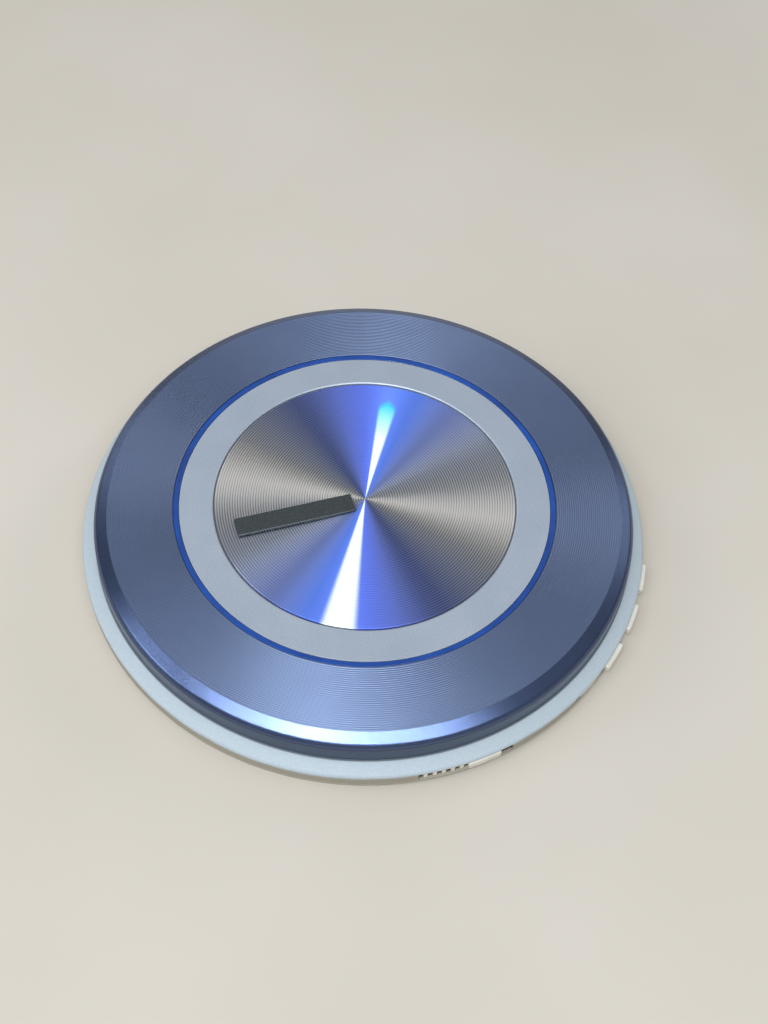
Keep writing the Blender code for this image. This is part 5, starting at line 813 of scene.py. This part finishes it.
# %% Keys
# Each box is its low corner, its high corner and its edge radius.
KEY_CAP = ((-3.55, -67.6, 5.18), (3.55, -64.5, 7.0), 0.35)
KEY_FLANGE = ((-4.1, -65.3, 5.1), (4.1, -64.3, 7.3), 0.15)
KEY_PLUNGER = ((-0.8, -64.5, 5.6), (0.8, -62.9, 6.6), 0.1)
KEY_AZIMUTHS = (41.2, 51.0, 60.8)
for number, azimuth in enumerate(KEY_AZIMUTHS, 1):
    key = boxes_on_rim(f"side_key_{number}", [KEY_CAP, KEY_FLANGE, KEY_PLUNGER], azimuth)
    settle(key, key_cream, f"key_{number}", body=f"key_{number}")

# %% Sliders
# The two sliders keep the CAD's ribs, bar and catch; a small bevel rounds their edges.
for number, name in enumerate(("open_slider", "hold_slider"), 1):
    slider = rounded_copy(name, f"rim_slider_{number}", sides=0)
    soft = slider.modifiers.new("moulded_edges", "BEVEL")
    soft.width = 0.12 * MM
    soft.segments = 2
    soft.limit_method = "ANGLE"
    soft.angle_limit = np.radians(40)
    settle(slider, key_cream, name, body=name)

# %% [markdown]
# ## Finishes of what shows with the lid open, and inside
# Each CAD node gets the finish of its material slot. Each could have a material drawn for it
# alone, but they differ only in tone, grain and gloss, so one function makes them all. Moulded
# ABS has the even matt grain of its spark-eroded mould. Zinc plate is a cool grey with a soft
# shine, and die-cast zinc is duller and rougher. Ground steel is bright and close-grained,
# phosphor bronze warm and bright, rubber black and matt. The board shows gloss green lacquer,
# the chip dull black epoxy, and the ribbon clear amber film.


# %% Plain finishes
def moulded(name, dark, light, grain_mm, roughness, relief_mm, **values):
    """A material of two close tones, roughness and relief from one noise at a real grain size."""
    material, tree, shader = finish_of(name, **values)
    place = add(tree, "TexCoord").outputs["Object"]
    grain = {"Vector": place, "Scale": 1 / (grain_mm * MM), "Detail": 3.0}
    noise = add(tree, "TexNoise", grain).outputs["Fac"]
    tones = add(tree, "ValToRGB", {"Fac": noise}, stops=[(0.3, dark), (0.7, light)]).outputs["Color"]
    tree.links.new(tones, shader.inputs["Base Color"])
    spread = add(tree, "MapRange", {"Value": noise, "To Min": roughness - 0.06, "To Max": roughness + 0.06})
    tree.links.new(spread.outputs[0], shader.inputs["Roughness"])
    bump = add(tree, "Bump", {"Strength": 0.5, "Distance": relief_mm * MM, "Height": noise})
    tree.links.new(bump.outputs["Normal"], shader.inputs["Normal"])
    return material


finishes = {
    "pale_case": shell_greige_shaded,
    "pale_key": key_cream,
    "grey_moulding": moulded("moulded_grey_abs", "6b6f75", "777b81", 0.25, 0.55, 0.01),
    "black_moulding": moulded("moulded_black_abs", "1b1c1e", "26272a", 0.2, 0.45, 0.01),
    "bright_steel": moulded("ground_steel", "a9abae", "c2c4c6", 0.15, 0.28, 0.003, Metallic=1.0),
    "zinc_sheet": moulded("zinc_plated_sheet", "9b9d9f", "b4b6b8", 0.8, 0.38, 0.006, Metallic=1.0),
    "die_cast": moulded("die_cast_zinc", "85878a", "9a9c9f", 0.4, 0.5, 0.02, Metallic=1.0),
    "rubber": moulded("black_rubber", "1d1d1f", "29292b", 0.3, 0.85, 0.02),
    "board_green": moulded("solder_resist_green", "0d4a2c", "17603a", 1.2, 0.42, 0.01),
    "chip_black": moulded("chip_epoxy", "1a1a1b", "242425", 0.1, 0.6, 0.008),
    "copper_film": moulded("polyimide_film", "8f4d1c", "a86428", 1.5, 0.4, 0.004),
    "sprung_bronze": moulded("phosphor_bronze", "b79a5b", "cbb074", 0.3, 0.3, 0.003, Metallic=1.0),
    "blue_anodised": lid_blue,
    "accent_blue": accent_blue,
    "satin_grey": trim_grey,
    "spun_aluminium": spun,
    "dark_badge": badge_dark,
}
print(len(finishes), "finishes so far")

# %% Coated lens glass
# A pressed glass lens with a thin coating: nearly black, with a blue to purple glint.
glass, tree, shader = finish_of(
    "coated_lens_glass", Roughness=0.04, IOR=1.5, Transmission_Weight=0.6, Coat_Weight=0.5
)
place = add(tree, "TexCoord").outputs["Object"]
coating = add(tree, "TexNoise", {"Vector": place, "Scale": 1 / (2 * MM)}).outputs["Fac"]
purple = add(tree, "ValToRGB", {"Fac": coating}, stops=[(0.3, "3d5a9c"), (0.7, "5a3f96")]).outputs["Color"]
tree.links.new(purple, shader.inputs["Base Color"])
finishes["lens_glass"] = glass


def slot_finish(node):
    """The finish that belongs to a CAD node's material slot."""
    return finishes[nodes[node].data.materials[0].name.split(".")[0]]


# %% [markdown]
# ### Turned pieces under the lid, and the feet
# The lid's inner frame and the turntable are moulded copies, made round as the case was. The
# pad, the lens and the rubber feet could be cylinders with a bevel, but each has its own
# outline: a flat ring, a dome and a soft foot. So each outline is carried round the piece's own
# middle, which its CAD box gives.

# %% Inner frame and turntable
settle(rounded_copy("lid_frame", "lid_inner_frame"), slot_finish("lid_frame"), "lid_frame", body="lid")
table = rounded_copy("turntable", "turntable_plate", sides=36, cell=1.5)
settle(table, slot_finish("turntable"), "turntable", body="turntable")


# %% Pad, lens and feet
def middle_of(node):
    """Middle of a node's box in x and y, its radius, and its lowest and highest z, in millimetres."""
    low, high = (np.array(corner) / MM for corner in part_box(node))
    return (low[:2] + high[:2]) / 2, (high[0] - low[0]) / 2, low[2], high[2]


PAD_WIDTH = 2.8
CROWN_SHARE = 0.45
middle, radius, low, high = middle_of("disc_pad")
hole = radius - PAD_WIDTH
pad_outline = rounded([(hole, low), (hole, high), (radius, high), (radius, low)], 0.08, 4)
pad = lathe("disc_pad_ring", pad_outline, 144, centre=middle)
settle(pad, slot_finish("disc_pad"), "disc_pad", body="turntable")
middle, radius, low, high = middle_of("objective_lens")
dome = np.linspace(0, np.pi / 2, 14)
crown = CROWN_SHARE * (high - low)
side = np.stack([radius * np.cos(dome), high - crown + crown * np.sin(dome)], -1)
lens_outline = np.concatenate([[(0, low), (radius, low)], side]) * MM
settle(lathe("lens_dome", lens_outline, 72, centre=middle), glass, "objective_lens", body="lens")
for number in range(1, 5):
    middle, radius, low, high = middle_of(f"foot_{number}")
    edge = [(radius - 0.3, low), (radius - 0.1, low + 0.06), (radius, low + 0.22), (radius, high)]
    foot = lathe(f"rubber_foot_{number}", np.array([(0, low), *edge, (0, high)]) * MM, 72, centre=middle)
    settle(foot, slot_finish(f"foot_{number}"), f"foot_{number}", body="base")

# %% Finish of every CAD node
for name, obj in nodes.items():
    obj.data.materials[0] = slot_finish(name)
print(len(finishes), "finishes on", len(nodes), "nodes")

low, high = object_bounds()
print("size", [round((b - a) / MM, 2) for a, b in zip(low, high)], "mm")
